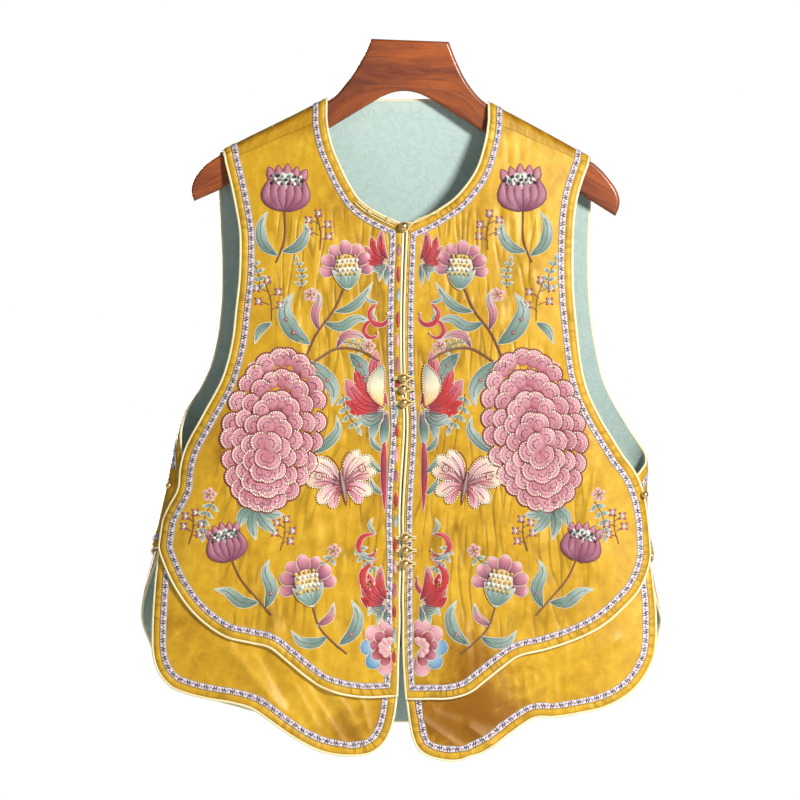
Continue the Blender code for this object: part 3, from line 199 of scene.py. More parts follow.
RIGHT_NECK = [
    (77.2, -73.9), (75.3, -88), (72.5, -100.6), (66, -120.2), (55.8, -136), (43.7, -149), (32.6, -156.6),
    (23.3, -162.3), (14, -167), (0.9, -173),
]
RIGHT_CENTRE = [
    (0.9, -173), (-0.7, -327), (-1.5, -410), (-2.6, -500), (-2.7, -568), (-1.2, -598), (0, -614.9),
]
RIGHT_TIER_INNER = [
    (0, -614.9), (22, -614.8), (43.7, -614), (59.5, -609.3), (75.3, -597.7), (91.1, -585.2),
    (104.2, -575.9),
]
RIGHT_TIER_OUTER = [
    (104.2, -575.9), (131.1, -568.9), (155.3, -561), (179.5, -549.8), (203.7, -530.3), (216.7, -516.3),
    (225.3, -500), (229.7, -481),
]
RIGHT_SIDE = [(229.7, -481), (228.8, -466), (227.6, -452), (226, -438), (224, -426), (220.5, -414)]
RIGHT_ARMHOLE = [
    (220.5, -414), (214.8, -401.9), (205.2, -388.9), (193.9, -371.3), (182.7, -352.7), (173, -333.1),
    (166.5, -312.7), (161.8, -280.1), (158.6, -248.5), (157, -218), (157.4, -187), (158.6, -166),
    (162, -145), (167.4, -127.6), (171.6, -116.4),
]

LEFT_TIER_TOP = [
    (-6, -595), (-30, -596), (-60, -592), (-85, -578), (-108, -560), (-127.4, -549), (-160, -540),
    (-180, -530), (-199, -512), (-211, -494), (-221, -481), (-232, -477.5),
]
LEFT_TIER_SIDE = [
    (-232, -477.5), (-234.4, -498.7), (-235.8, -517.3), (-236.9, -535.9), (-237.4, -554.5),
    (-237.2, -568.4), (-234.4, -582.4), (-228.8, -593.6),
]
LEFT_HEM_OUTER = [
    (-228.8, -593.6), (-218.6, -603.8), (-202.7, -610.3), (-183.7, -614.9), (-160, -618.8),
    (-144, -623.5),
]
LEFT_HEM_INNER = [
    (-144, -623.5), (-127.4, -634.4), (-111.6, -645.6), (-95.8, -655.4), (-80, -662.6), (-63.2, -666.6),
    (-47.4, -667.6), (-33, -665.5), (-20.5, -657),
]
LEFT_TIER_CENTRE = [(-20.5, -657), (-13.5, -645), (-9.3, -629.8), (-7, -612), (-6, -595)]

RIGHT_TIER_TOP = [
    (231.5, -485.5), (221, -487), (209, -500), (196, -516), (172, -534), (150, -544), (127, -551),
    (101, -559), (84, -571), (67, -587), (52, -595), (30, -598), (-1.6, -598),
]
RIGHT_TIER_CENTRE = [(-1.6, -598), (0.2, -612), (1.9, -625), (3.8, -638), (6.4, -650), (12.5, -662)]
RIGHT_HEM_INNER = [
    (12.5, -662), (20.5, -667.4), (32, -671), (48.4, -672.2), (64.2, -668), (80, -660.5), (97.7, -647.5),
    (110.7, -638.2), (120, -632.6),
]
RIGHT_HEM_OUTER = [
    (120, -632.6), (139.5, -631.7), (163.7, -627.9), (184.1, -623.3), (201.8, -615.4), (216.7, -603.8),
    (227.9, -588.5),
]
RIGHT_TIER_SIDE = [
    (227.9, -588.5), (233.8, -575), (236.2, -558), (236.4, -541), (235.8, -524), (233.6, -503),
    (231.5, -485.5),
]

# Edges of the back say which half of the body they lie on, because the back wraps round each side to
# pass under the front's edge.
BEHIND, AT_SIDE, BEFORE = 1, 0, -1


def on(half, *points):
    return [(x, z, half) for x, z in points]


BACK_LEFT_ARMHOLE = [
    *on(
        BEHIND, (-174, -140), (-172.4, -175), (-171, -215), (-172, -248), (-176, -280), (-185, -311),
        (-195.3, -330), (-203.4, -342)
    ),
    *on(AT_SIDE, (-207.6, -352)),
    *on(BEFORE, (-209.6, -366), (-208, -382), (-205.5, -397)),
]
BACK_LEFT_SIDE = [
    *on(
        BEFORE, (-205.5, -397), (-200.5, -410), (-201, -424), (-208, -438), (-214, -450), (-218, -462),
        (-220, -474)
    ),
]
BACK_TIER_LINE = [
    [
        *on(BEFORE, (-220, -474)),
        *on(AT_SIDE, (-236, -476)),
        *on(BEHIND, (-233, -483), (-222, -500), (-200, -531), (-160, -556), (-125, -566)),
    ],
    on(BEHIND, (-125, -566), (-90, -577), (-45, -584), (0, -586), (45, -584), (90, -577), (125, -566)),
    [
        *on(BEHIND, (125, -566), (160, -556), (200, -532), (220, -505), (228, -491)),
        *on(AT_SIDE, (231, -483)),
        *on(BEFORE, (217, -481)),
    ],
]
BACK_RIGHT_SIDE = [
    *on(BEFORE, (217, -481), (214, -468), (211, -453), (208, -438), (207.5, -426), (211.5, -414)),
]
BACK_RIGHT_ARMHOLE = [
    *on(BEFORE, (211.5, -414), (217, -405), (222.5, -398.5)),
    *on(AT_SIDE, (226, -389.5)),
    *on(
        BEHIND, (222.7, -380.5), (216.3, -370.5), (205, -352.7), (195.3, -336.4), (187.5, -320),
        (180.5, -293), (175.5, -265), (172.8, -235), (171.8, -200), (172.8, -170), (174.3, -145)
    ),
]
BACK_TIER_SIDE_LEFT = [
    *on(BEFORE, (-226.5, -466), (-230, -478), (-235, -494), (-240.5, -508), (-244.8, -520)),
    *on(AT_SIDE, (-247.2, -530.5)),
    *on(BEHIND, (-246.6, -542), (-243.5, -553), (-236, -571), (-226, -588), (-213, -600.5)),
]
BACK_HEM = [
    on(BEHIND, (-213, -600.5), (-198, -610), (-178.6, -617.5), (-158, -623), (-140, -628)),
    on(
        BEHIND, (-140, -628), (-110, -634), (-60, -637), (0, -637.6), (60, -637), (107, -634),
        (140, -628),
    ),
    on(BEHIND, (140, -628), (163, -623), (181.4, -617.7), (198, -611.5), (210, -603.5)),
]
BACK_TIER_SIDE_RIGHT = [
    *on(BEHIND, (210, -603.5), (220.5, -593), (229, -579), (236, -563), (239.8, -548)),
    *on(AT_SIDE, (239.8, -535)),
    *on(BEFORE, (235, -522), (231.8, -508), (228.3, -492), (224, -473)),
]
BACK_TIER_TOP = [
    *on(BEFORE, (224, -473)),
    *on(AT_SIDE, (230, -472)),
    *on(
        BEHIND, (222, -476), (198, -494), (158, -525), (125, -540), (90, -552), (45, -562), (0, -566),
        (-45, -562), (-90, -552), (-125, -540), (-158, -525), (-198, -490), (-224, -470)
    ),
    *on(AT_SIDE, (-234, -466)),
    *on(BEFORE, (-226.5, -466)),
]

# Ball buttons: where the middle of each lies, seen from the front.
BALL_RADIUS = 3.9
NECK_BALL_RADIUS = 4.4
SIDE_BALL_RADIUS = 3.2
CHEST_BUTTONS = [(-1.3, -315.5), (-1.3, -325.7), (-0.6, -338.4)]
WAIST_BUTTONS = [(0.5, -463.8), (0.9, -475.9), (0.5, -488)]
NECK_BUTTON = (-0.9, -175)
LOOP_RADIUS = 0.8
LOOP_LEVEL = 2.0
LOOP_TAIL = 10.0
NECK_CORD_LENGTH = 36.0
NECK_CORD_SLOPE = math.radians(25)
NECK_KNOTS = [(-32.6, -162.5), (-15.5, -170.5)]
SIDE_BUTTON_LEFT = (-218, -416)
SIDE_BUTTON_RIGHT = (221, -424)

# The hanger, drawn in the plane y = 0.
HANGER_HALF_THICKNESS = 5.0
HANGER_ROUNDING = 3.0
HANGER_NECK_LEFT = [
    (-31.6, 1.2), (-36.3, -10.4), (-41.9, -20.6), (-49.3, -32.7), (-57.7, -43.5), (-66, -53), (-74, -58),
]
HANGER_ARM_LEFT = [(-74, -58), (-125, -83.7), (-174.8, -108.4)]
HANGER_END_LEFT = [
    (-174.8, -108.4), (-183.2, -114), (-191.6, -122), (-197.5, -131), (-199.7, -141.3), (-197.4, -150.5),
]
HANGER_UNDER = [(-197.4, -150.5), (-174.8, -140.6), (-71.6, -83), (-22.3, -53.2)]
HANGER_ARCH = [(-22.3, -53.2), (-11, -48.8), (0, -47.6), (12, -49.6), (23.2, -54.6)]
HANGER_UNDER_RIGHT = [(23.2, -54.6), (74.4, -86.7), (174.8, -150.8), (196.2, -164.3)]
HANGER_END_RIGHT = [
    (196.2, -164.3), (199.4, -157), (200.3, -149), (197, -139.2), (191.6, -131.3), (185.1, -123.4),
    (176.7, -115.4),
]
HANGER_ARM_RIGHT = [(176.7, -115.4), (128, -88), (80, -62)]
HANGER_NECK_RIGHT = [(80, -62), (70.5, -55), (63, -46.5), (55, -34.5), (48.5, -21), (40.9, -1.6)]

# The scene's cloth is finer than the solids by this factor, and its edges reach into the piping.
FINE = 6
TUCK = 0.75


# ---------------------------------------------------------------- curves and the surface of the cloth

def smooth_between(at, stations, values):
    """Values read off a smooth curve through the stations."""
    stations, values = np.asarray(stations, float), np.asarray(values, float)
    slopes = np.gradient(values, stations)
    at = np.clip(at, stations[0], stations[-1])
    i = np.clip(np.searchsorted(stations, at) - 1, 0, len(stations) - 2)
    step = stations[i + 1] - stations[i]
    t = (at - stations[i]) / step
    start, end = 2 * t**3 - 3 * t**2 + 1, 3 * t**2 - 2 * t**3
    rise, fall = t**3 - 2 * t**2 + t, t**3 - t**2
    return start * values[i] + end * values[i + 1] + step * (rise * slopes[i] + fall * slopes[i + 1])


def lengths_along(points):
    """The distance along a line from its start to each of its points."""
    return np.concatenate([[0], np.cumsum(np.linalg.norm(np.diff(points, axis=0), axis=1))])


def smooth_line(points, count, along=None):
    """The given number of points, evenly spaced on a smooth curve through a table's points."""
    points = np.asarray(points, float)
    along = lengths_along(points) if along is None else along
    at = np.linspace(0, along[-1], count)
    return np.column_stack([smooth_between(at, along, column) for column in points.T])


def read(line, places):
    """The points at fractional places on a line."""
    return np.column_stack([np.interp(places, np.arange(len(line)), column) for column in line.T])


def unit(vectors):
    return vectors / np.linalg.norm(vectors, axis=-1, keepdims=True)


def section_at(height, name):
    return smooth_between(height, [s.height for s in SECTIONS], [getattr(s, name) for s in SECTIONS])


def arc_start(x):
    """The height on the back at which the cloth starts to turn over the shoulder."""
    return np.interp(x, *np.array(RIDGE).T) - SHOULDER_RADIUS


def ease(value):
    value = np.clip(value, 0, 1)
    return value * value * (3 - 2 * value)


def pucker(rng, x, z, drops, lean, widths, rises):
    """A short crease down from a place, with its sizes drawn from their ranges."""
    drop, aside = rng.uniform(*drops), rng.uniform(-lean, lean)
    width, way = rng.uniform(*widths), rng.choice([-1, 1])
    return Fold(x, z, x + aside, z - drop, width, way * rng.uniform(*rises))


def front_creases():
    """The fronts' folds, their pleats in groups and the puckers that stitching scatters over them."""
    folds = list(FRONT_FOLDS)
    for group in PLEATS:
        for i, x in enumerate(np.linspace(group.x0, group.x1, group.count)):
            top, foot = group.top - 3 * (i % 2), group.foot - 5 * (2 * i % 3)
            folds.append(Fold(x, top, x + group.lean, foot, PLEAT_WIDTH, PLEAT_RISE))
    rng = np.random.default_rng(21)
    for side in (-1, 1):
        for _ in range(FRONT_PUCKERS):
            x, z = side * rng.uniform(24, 170), rng.uniform(-560, -130)
            within = abs(x) < 130 + max(-z - 300, 0) * 0.4
            if within and math.hypot(x, z + 110) > 105:
                folds.append(pucker(rng, x, z, (12, 34), 5, (2.4, 4.4), (0.7, 1.4)))
    return folds


def back_creases():
    """The back's folds and a few scattered puckers."""
    rng = np.random.default_rng(8)
    folds = list(BACK_FOLDS)
    for _ in range(BACK_PUCKERS):
        x, z = rng.uniform(-150, 150), rng.uniform(-600, -210)
        folds.append(pucker(rng, x, z, (20, 60), 9, (3.0, 5.5), (0.4, 0.9)))
    return folds


def fold_rise(folds, x, z):
    """How far the folds and the sway towards the hem push the cloth out."""
    x, z = (np.array(value, float) for value in np.broadcast_arrays(x, z))
    rise = SWAY_RISE * np.sin(2 * math.pi * x / SWAY_LENGTH) * ease((z - SWAY_TOP) / (SWAY_FULL - SWAY_TOP))
    shape, rise, x, z = rise.shape, rise.ravel(), x.ravel(), z.ravel()
    for fold in folds:
        run = np.array([fold.x1 - fold.x0, fold.z1 - fold.z0])
        reach = 3 * fold.width + np.abs(run) / 2
        near = np.abs(x - (fold.x0 + fold.x1) / 2) < reach[0]
        near &= np.abs(z - (fold.z0 + fold.z1) / 2) < reach[1]
        if not near.any():
            continue
        gone, up = x[near] - fold.x0, z[near] - fold.z0
        length = np.linalg.norm(run)
        along, across = (gone * run[0] + up * run[1]) / length, (gone * run[1] - up * run[0]) / length
        fade = ease(1 + along / (2 * fold.width)) * ease(1 + (length - along) / (2 * fold.width))
        rise[near] += fold.rise * fade * np.exp(-((across / fold.width) ** 2))
    return rise.reshape(shape)


class Sheet:
    """The surface that one side of the garment lies on. Its outer face points away from the body."""

    def __init__(self, facing, over, folds):
        self.facing, self.over, self.folds = facing, over, folds
        # Angles, and how far round the body each lies, for spacing a grid evenly over the cloth.
        self.angles = np.linspace(-math.pi, math.pi, 721)
        self.girths = lengths_along(self.point(self.angles, np.full(721, SPACING_HEIGHT)))

    def by_girth(self, line):
        return np.column_stack([np.interp(line[:, 0], self.angles, self.girths), line[:, 1]])

    def by_angle(self, grid):
        return np.stack([np.interp(grid[..., 0], self.girths, self.angles), grid[..., 1]], axis=-1)

    def half_width(self, height):
        height = np.minimum(height, SHOULDER_LEVEL)
        left, right = section_at(height, "left"), section_at(height, "right")
        return (left + right) / 2, (right - left) / 2 + self.over

    def angle(self, x, height, half=None):
        """The angle, from the middle of this sheet, of the point with this x on one half of the body."""
        middle, width = self.half_width(height)
        share = np.clip((x - middle) / width, -0.9999, 0.9999)
        power = np.abs(share) ** SQUARENESS
        tilt = np.sign(share) * np.arctan((power / (1 - power)) ** (1 / SQUARENESS))
        if half is None:
            return tilt
        turned = np.where(half == self.facing, tilt, np.sign(share) * math.pi - tilt)
        return np.where(half == AT_SIDE, np.sign(share) * math.pi / 2, turned)

    def hanging(self, angle, height):
        """x and y of the cloth that hangs below the shoulders."""
        middle, width = self.half_width(height)
        round_off = np.abs(np.cos(angle)) ** SQUARENESS + np.abs(np.sin(angle)) ** SQUARENESS
        reach = round_off ** (-1 / SQUARENESS)
        x = middle + width * reach * np.sin(angle)
        ahead = self.facing * np.cos(angle) > 0
        depth = np.where(ahead, section_at(height, "back"), section_at(height, "front"))
        depth = depth + self.over + fold_rise(self.folds, x, height)
        y = self.facing * depth * reach * np.cos(angle)
        narrow = np.exp(-np.maximum(arc_start(x) - height, 0) / SHOULDER_FALL)
        return x, y * (1 - narrow) + np.clip(y / 8, -1, 1) * SHOULDER_RADIUS * narrow

    def point(self, angle, height):
        """Points in mm. The back sheet turns over the shoulders, but not between the neck points."""
        angle, height = np.asarray(angle, float), np.asarray(height, float)
        x, y = self.hanging(angle, height)
        if self.facing == BEFORE:
            return np.stack([x, y, height], axis=-1)
        start = arc_start(x)
        past = np.maximum(height - start, 0)
        turn = np.minimum(past / SHOULDER_RADIUS, math.pi)
        beyond = np.maximum(past - math.pi * SHOULDER_RADIUS, 0)
        front_y = FRONT_SHEET.hanging(FRONT_SHEET.angle(x, start - beyond), start - beyond)[1]
        over_y = np.where(beyond > 0, front_y, SHOULDER_RADIUS * np.cos(turn))
        over_z = start + SHOULDER_RADIUS * np.sin(turn) - beyond
        outside = np.maximum(NECK_LEFT - x, x - NECK_RIGHT)
        rolled = np.where(past > 0, ease(1 + outside / 12), 0)
        return np.stack([x, y + rolled * (over_y - y), height + rolled * (over_z - height)], axis=-1)

    def slopes(self, at):
        """Change of the point with each coordinate, for an array of (angle, height)."""
        angle, height = at[..., 0], at[..., 1]
        turn, rise = 0.0005, 0.1
        by_angle = (self.point(angle + turn, height) - self.point(angle - turn, height)) / (2 * turn)
        by_height = (self.point(angle, height + rise) - self.point(angle, height - rise)) / (2 * rise)
        return by_angle, by_height

    def normal(self, at):
        return unit(-self.facing * np.cross(*self.slopes(at)))

    def raised(self, at, depth=0.0):
        """(points, normals) of places on the sheet, at a depth below it."""
        normals = self.normal(at)
        return self.point(*at.T) - depth * normals, normals

    def locate(self, table):
        """(angle, height) of a table's points."""
        table = np.asarray(table, float)
        half = table[:, 2] if table.shape[1] > 2 else np.full(len(table), self.facing)
        return np.column_stack([self.angle(table[:, 0], table[:, 1], half), table[:, 1]])


FRONT_SHEET = Sheet(BEFORE, FRONT_OVER_BACK, front_creases())
BACK_SHEET = Sheet(BEHIND, 0.0, back_creases())
BACK_TIER_SHEET = Sheet(BEHIND, -BACK_TIER_DEPTH, back_creases())


# ---------------------------------------------------------------- panels

Run = namedtuple("Run", "name steps points")
Side = namedtuple("Side", "bands runs")
DENSE = 160
INSET_PASSES = 3
OVERRUN = 16.0


def side(bands, **runs):
    """One side of a panel, from the steps and points of each of its runs in order."""
    return Side(bands, [Run(name, *run) for name, run in runs.items()])


def moved_in(sheet, line, distance):
    """A line on the sheet, moved over the cloth to its left by the distance."""
    for _ in range(INSET_PASSES if distance else 0):
        by_angle, by_height = sheet.slopes(line)
        across = unit(by_angle)
        skew = (by_height * across).sum(axis=1)
        up = by_height - skew[:, None] * across
        along_angle, along_up = (np.linalg.norm(slope, axis=1) for slope in (by_angle, up))
        heading = np.gradient(sheet.point(*line.T), axis=0)
        heading = np.column_stack([(heading * across).sum(axis=1), (heading * unit(up)).sum(axis=1)])
        heading = unit(heading) * distance / INSET_PASSES
        height_step = heading[:, 0] / along_up
        angle_step = (-heading[:, 1] - skew * height_step) / along_angle
        line = line + np.column_stack([angle_step, height_step])
    return line


def longer(sheet, line):
    """The line with both its ends carried on straight, far enough to cross its neighbours."""
    lengths = np.diff(lengths_along(sheet.point(*line.T)))
    start = line[0] - (line[1] - line[0]) * OVERRUN / lengths[0]
    end = line[-1] + (line[-1] - line[-2]) * OVERRUN / lengths[-1]
    return np.vstack([start, line, end])


def meeting(first, second):
    """Where the first line, near its end, crosses the second: fractional places on both."""
    a, b = first[:-1, None], np.diff(first, axis=0)[:, None]
    c, d = second[None, :-1], np.diff(second, axis=0)[None]
    gap = c - a
    under = b[..., 0] * d[..., 1] - b[..., 1] * d[..., 0]
    under = np.where(np.abs(under) < 1e-12, 1e-12, under)
    s = (gap[..., 0] * d[..., 1] - gap[..., 1] * d[..., 0]) / under
    t = (gap[..., 0] * b[..., 1] - gap[..., 1] * b[..., 0]) / under
    rows, columns = np.nonzero((s >= 0) & (s <= 1) & (t >= 0) & (t <= 1))
    if not len(rows):
        raise ValueError("two neighbouring edges of a panel do not meet")
    best = np.argmin(np.abs(len(first) - 1 - rows) + columns)
    row, column = rows[best], columns[best]
    return row + s[row, column], column + t[row, column]


def even_places(sheet, line, start, end, steps):
    """Fractional places on a line, evenly spaced over the cloth."""
    places = np.concatenate([[start], np.arange(math.floor(start) + 1, math.ceil(end)), [end]])
    along = lengths_along(sheet.point(*read(line, places).T))
    return np.interp(np.linspace(0, along[-1], steps + 1), along, places)


def dense_side(sheet, runs):
    """One smooth line through all of a side's runs, and the places on it where they join."""
    tables = [sheet.locate(run.points) for run in runs]
    table = np.vstack([tables[0]] + [part[1:] for part in tables[1:]])
    along = lengths_along(sheet.point(*table.T))
    count = DENSE * len(tables)
    knots = np.cumsum([len(part) - 1 for part in tables])[:-1]
    return smooth_line(table, count, along), [1 + along[k] / along[-1] * (count - 1) for k in knots]


def outlines(sheet, sides):
    """For each distance in Bands, the panel's outline there: one array of points for each run, by its name.

    The cloth's own edge is divided evenly, and the other lines are divided opposite those points.
    """
    dense = [dense_side(sheet, part.runs) for part in sides]
    lines, stops = [], []
    for band in range(len(BOUND)):
        moved = [longer(sheet, moved_in(sheet, line, part.bands[band]))
                 for (line, _), part in zip(dense, sides)]
        places = [meeting(line, moved[(i + 1) % len(moved)]) for i, line in enumerate(moved)]
        lines.append(moved)
        stops.append([[places[i - 1][1], *dense[i][1], places[i][0]] for i in range(len(sides))])
    result = [{} for _ in lines]
    cloth = BOUND._fields.index("cloth")
    for i, part in enumerate(sides):
        for j, run in enumerate(part.runs):
            start, end = stops[cloth][i][j:j + 2]
            even = even_places(sheet, lines[cloth][i], start, end, run.steps * FINE)
            share = (even - start) / (end - start)
            for band, outline in enumerate(result):
                start, end = stops[band][i][j:j + 2]
                outline[run.name] = read(lines[band][i], start + share * (end - start))
    return Bands(*result)


def chain(outline, names):
    """The points of several runs in order, with each joint once."""
    runs = [outline[name] for name in names]
    return np.vstack([runs[0]] + [run[1:] for run in runs[1:]])


def filled(left, bottom, right, top):
    """A grid between four lines that share their corners, from the top row down and from left to right."""
    v = np.linspace(0, 1, len(left))[:, None, None]
    u = np.linspace(0, 1, len(top))[None, :, None]
    sides = (1 - u) * left[:, None] + u * right[:, None]
    ends = (1 - v) * top[None] + v * bottom[None]
    corners = (1 - v) * ((1 - u) * top[0] + u * top[-1]) + v * ((1 - u) * bottom[0] + u * bottom[-1])
    return sides + ends - corners


def grid_faces(rows, columns, closed=False):
    """Quads between rows of points. A closed grid joins its last column to its first."""
    i = np.arange(rows - 1)[:, None] * columns
    j = np.arange(columns if closed else columns - 1)[None]
    k = (j + 1) % columns
    corners = np.broadcast_arrays(i + j, i + k, i + columns + k, i + columns + j)
    return np.stack(corners, axis=-1).reshape(-1, 4)


class Panel:
    """One cut piece of cloth: its points on the sheet, and the faces between them."""

    def __init__(self, sheet, sides, left, bottom, right, top, collar_rows=0):
        self.sheet = sheet
        self.outline = outlines(sheet, sides)
        names = [*left, *bottom, *right]
        piping = self.outline.piping
        edge = {run: line + TUCK * (piping[run] - line) for run, line in self.outline.cloth.items()}
        outer, middle = (chain(line, names) for line in (edge, self.outline.ribbon_out))
        inner = self.outline.ribbon_in
        rim = sheet.by_girth(chain(inner, names))
        rows, columns = len(chain(inner, left)), len(chain(inner, bottom))
        left_rim, bottom_rim = rim[:rows], rim[rows - 1:rows + columns - 1]
        right_rim = rim[rows + columns - 2:][::-1]
        top_line = sheet.by_girth(chain(inner, top)[::-1])
        # The rows of a collar keep the top line's shape, and the rest is filled below the last of them.
        collar = [top_line + (left_rim[i] - left_rim[0]) * [0, 1] for i in range(collar_rows * FINE + 1)]
        for i, row in enumerate(collar):
            row[0], row[-1] = left_rim[i], right_rim[i]
        body = filled(left_rim[len(collar) - 1:], bottom_rim, right_rim[len(collar) - 1:], collar[-1])
        above = np.array(collar[:-1]).reshape(-1, len(top_line), 2)
        self.grid = sheet.by_angle(np.concatenate([above, body]))
        self.at = [*outer, *middle, *self.grid.reshape(-1, 2)]
        self.ring = len(rim)
        self.faces = self.ring_faces(rows, columns)
        cells = grid_faces(*self.grid.shape[:2])[:, [0, 3, 2, 1]] + 2 * self.ring
        self.faces += cells.tolist()

    def cell(self, row, column):
        """The number of a grid point."""
        return 2 * self.ring + row * self.grid.shape[1] + column

    def ring_faces(self, rows, columns):
        """The two rings of faces outside the grid, which leave its top open."""
        rim = [self.cell(i, 0) for i in range(rows)]
        rim += [self.cell(rows - 1, j) for j in range(1, columns)]
        rim += [self.cell(i, columns - 1) for i in range(rows - 2, -1, -1)]
        outer = list(range(self.ring))
        middle = [self.ring + i for i in outer]
        return [[one[i], one[i + 1], other[i + 1], other[i]]
                for one, other in ((outer, middle), (middle, rim)) for i in range(self.ring - 1)]

    def add_strap(self, before, rows):
        """Carries the cloth on from the numbered points of the top row, through rows of new points."""
        for row in rows:
            new = [len(self.at) + j for j in range(len(row))]
            self.at += list(row)
            self.faces += [[new[j], before[j], before[j + 1], new[j + 1]] for j in range(len(row) - 1)]
            before = new


# ---------------------------------------------------------------- the garment's pieces

def front_panels():
    """Both fronts, upper layer and lower tier, each with its depth below the sheet."""
    left = Panel(
        FRONT_SHEET,
        [
            side(BOUND, armhole=(12, LEFT_ARMHOLE), side=(3, LEFT_SIDE)),
            side(BOUND, tier_side=(4, LEFT_TIER_OUTER[:4]), tier_outer=(4, LEFT_TIER_OUTER[3:]),
                 tier_inner=(6, LEFT_TIER_INNER)),
            side(BOUND_CENTRE_LEFT, centre=(7, LEFT_CENTRE)),
            side(BOUND, neck=(8, LEFT_NECK)),
            side(SEWN, seam=(14, LEFT_SEAM)),
        ],
        ["armhole", "side"], ["tier_side", "tier_outer", "tier_inner"], ["centre", "neck"], ["seam"],
    )
    right = Panel(
        FRONT_SHEET,
        [
            side(BOUND, neck=(8, RIGHT_NECK)),
            side(BOUND_CENTRE_RIGHT, centre=(7, RIGHT_CENTRE)),
            side(BOUND, tier_inner=(6, RIGHT_TIER_INNER), tier_outer=(4, RIGHT_TIER_OUTER[:5]),
                 tier_side=(4, RIGHT_TIER_OUTER[4:])),
            side(BOUND, side=(3, RIGHT_SIDE), armhole=(12, RIGHT_ARMHOLE)),
            side(SEWN, seam=(14, RIGHT_SEAM)),
        ],
        ["neck", "centre"], ["tier_inner", "tier_outer", "tier_side"], ["side", "armhole"], ["seam"],
    )
    tier_left = Panel(
        FRONT_SHEET,
        [
            side(BOUND, side=(5, LEFT_TIER_SIDE), hem_outer=(7, LEFT_HEM_OUTER),
                 hem_inner=(9, LEFT_HEM_INNER), centre=(5, LEFT_TIER_CENTRE)),
            side(HIDDEN, top=(16, LEFT_TIER_TOP)),
        ],
        ["side"], ["hem_outer", "hem_inner"], ["centre"], ["top"],
    )
    tier_right = Panel(
        FRONT_SHEET,
        [
            side(BOUND, centre=(5, RIGHT_TIER_CENTRE), hem_inner=(9, RIGHT_HEM_INNER),
                 hem_outer=(7, RIGHT_HEM_OUTER), side=(5, RIGHT_TIER_SIDE)),
            side(HIDDEN, top=(16, RIGHT_TIER_TOP)),
        ],
        ["centre"], ["hem_inner", "hem_outer"], ["side"], ["top"],
    )
    return {
        "front_left": (left, 0.0),
        "front_right": (right, 0.0),
        "tier_front_left": (tier_left, FRONT_TIER_DEPTH),
        "tier_front_right": (tier_right, FRONT_TIER_DEPTH),
    }


def shoulder_point(x, drop=0.0):
    """A point on the line, on the back of the shoulder, from which the strap goes on over it."""
    return x, arc_start(x) + STRAP_START - drop, BEHIND


def strap_top(x_from, x_to):
    return [shoulder_point(x) for x in np.linspace(x_from, x_to, 12)]


def back_neck():
    """The back's neck edge, between the two straps, from right to left. It is the cloth's own edge."""
    right, left = NECK_RIGHT + BOUND.cloth, NECK_LEFT - BOUND.cloth
    low = BACK_NECK_HEIGHT - BOUND.cloth
    return [
        shoulder_point(right), (right - 22, low - 1, BEHIND), (0, low, BEHIND),
        (left + 22, low - 1, BEHIND), shoulder_point(left),
    ]


BACK_TIER_RUNS = ["wrap_left", "tier_left", "tier_middle", "tier_right", "wrap_right"]
SHOULDER_COLUMNS = 6
STRAPS = {"left": (SHOULDER_LEFT, NECK_LEFT, LEFT_SEAM), "right": (SHOULDER_RIGHT, NECK_RIGHT, RIGHT_SEAM)}


def back_panel():
    """The back's upper layer, with the straps that wrap over the shoulders to the front seams."""
    inner, outer, cloth = BOUND.ribbon_in, BOUND.ribbon_out, BOUND.cloth
    top_runs = {
        "shoulder_right": (SHOULDER_COLUMNS, strap_top(SHOULDER_RIGHT, NECK_RIGHT + inner)),
        "neck_band_right_0": (1, strap_top(NECK_RIGHT + inner, NECK_RIGHT + outer)),
        "neck_band_right_1": (1, strap_top(NECK_RIGHT + outer, NECK_RIGHT + cloth)),
        "back_neck": (6, back_neck()),
        "neck_band_left_1": (1, strap_top(NECK_LEFT - cloth, NECK_LEFT - outer)),
        "neck_band_left_0": (1, strap_top(NECK_LEFT - outer, NECK_LEFT - inner)),
        "shoulder_left": (SHOULDER_COLUMNS, strap_top(NECK_LEFT - inner, SHOULDER_LEFT)),
    }
    drops = np.linspace(0, inner - cloth, 4)
    yoke_left = [shoulder_point(SHOULDER_LEFT, drop) for drop in drops]
    yoke_right = [shoulder_point(SHOULDER_RIGHT, drop) for drop in drops[::-1]]
    wrap_left, across, wrap_right = BACK_TIER_LINE
    panel = Panel(
        BACK_SHEET,
        [
            side(BOUND, yoke_left=(2, yoke_left), armhole_left=(10, [yoke_left[-1], *BACK_LEFT_ARMHOLE]),
                 side_left=(3, BACK_LEFT_SIDE)),
            side(BOUND, wrap_left=(6, wrap_left[:4]), tier_left=(3, wrap_left[3:]), tier_middle=(4, across),
                 tier_right=(3, wrap_right[:4]), wrap_right=(6, wrap_right[3:])),
            side(BOUND, side_right=(3, BACK_RIGHT_SIDE),
                 armhole_right=(10, [*BACK_RIGHT_ARMHOLE, yoke_right[0]]), yoke_right=(2, yoke_right)),
            side(HIDDEN, **top_runs),
        ],
        ["yoke_left", "armhole_left", "side_left"], BACK_TIER_RUNS,
        ["side_right", "armhole_right", "yoke_right"], list(top_runs), collar_rows=2,
    )
    # The neck's own edge reaches into its piping too.
    last, corner = panel.grid.shape[1] - 1, (SHOULDER_COLUMNS + 2) * FINE
    reach = TUCK * (cloth - BOUND.piping)
    for j in range(corner, last - corner + 1):
        panel.at[panel.cell(0, j)] = panel.grid[0, j] + [0, reach]
    for j, x in ((corner, NECK_LEFT - cloth + reach), (last - corner, NECK_RIGHT + cloth - reach)):
        panel.at[panel.cell(0, j)][0] = BACK_SHEET.angle(x, SHOULDER_LEVEL)
    return panel


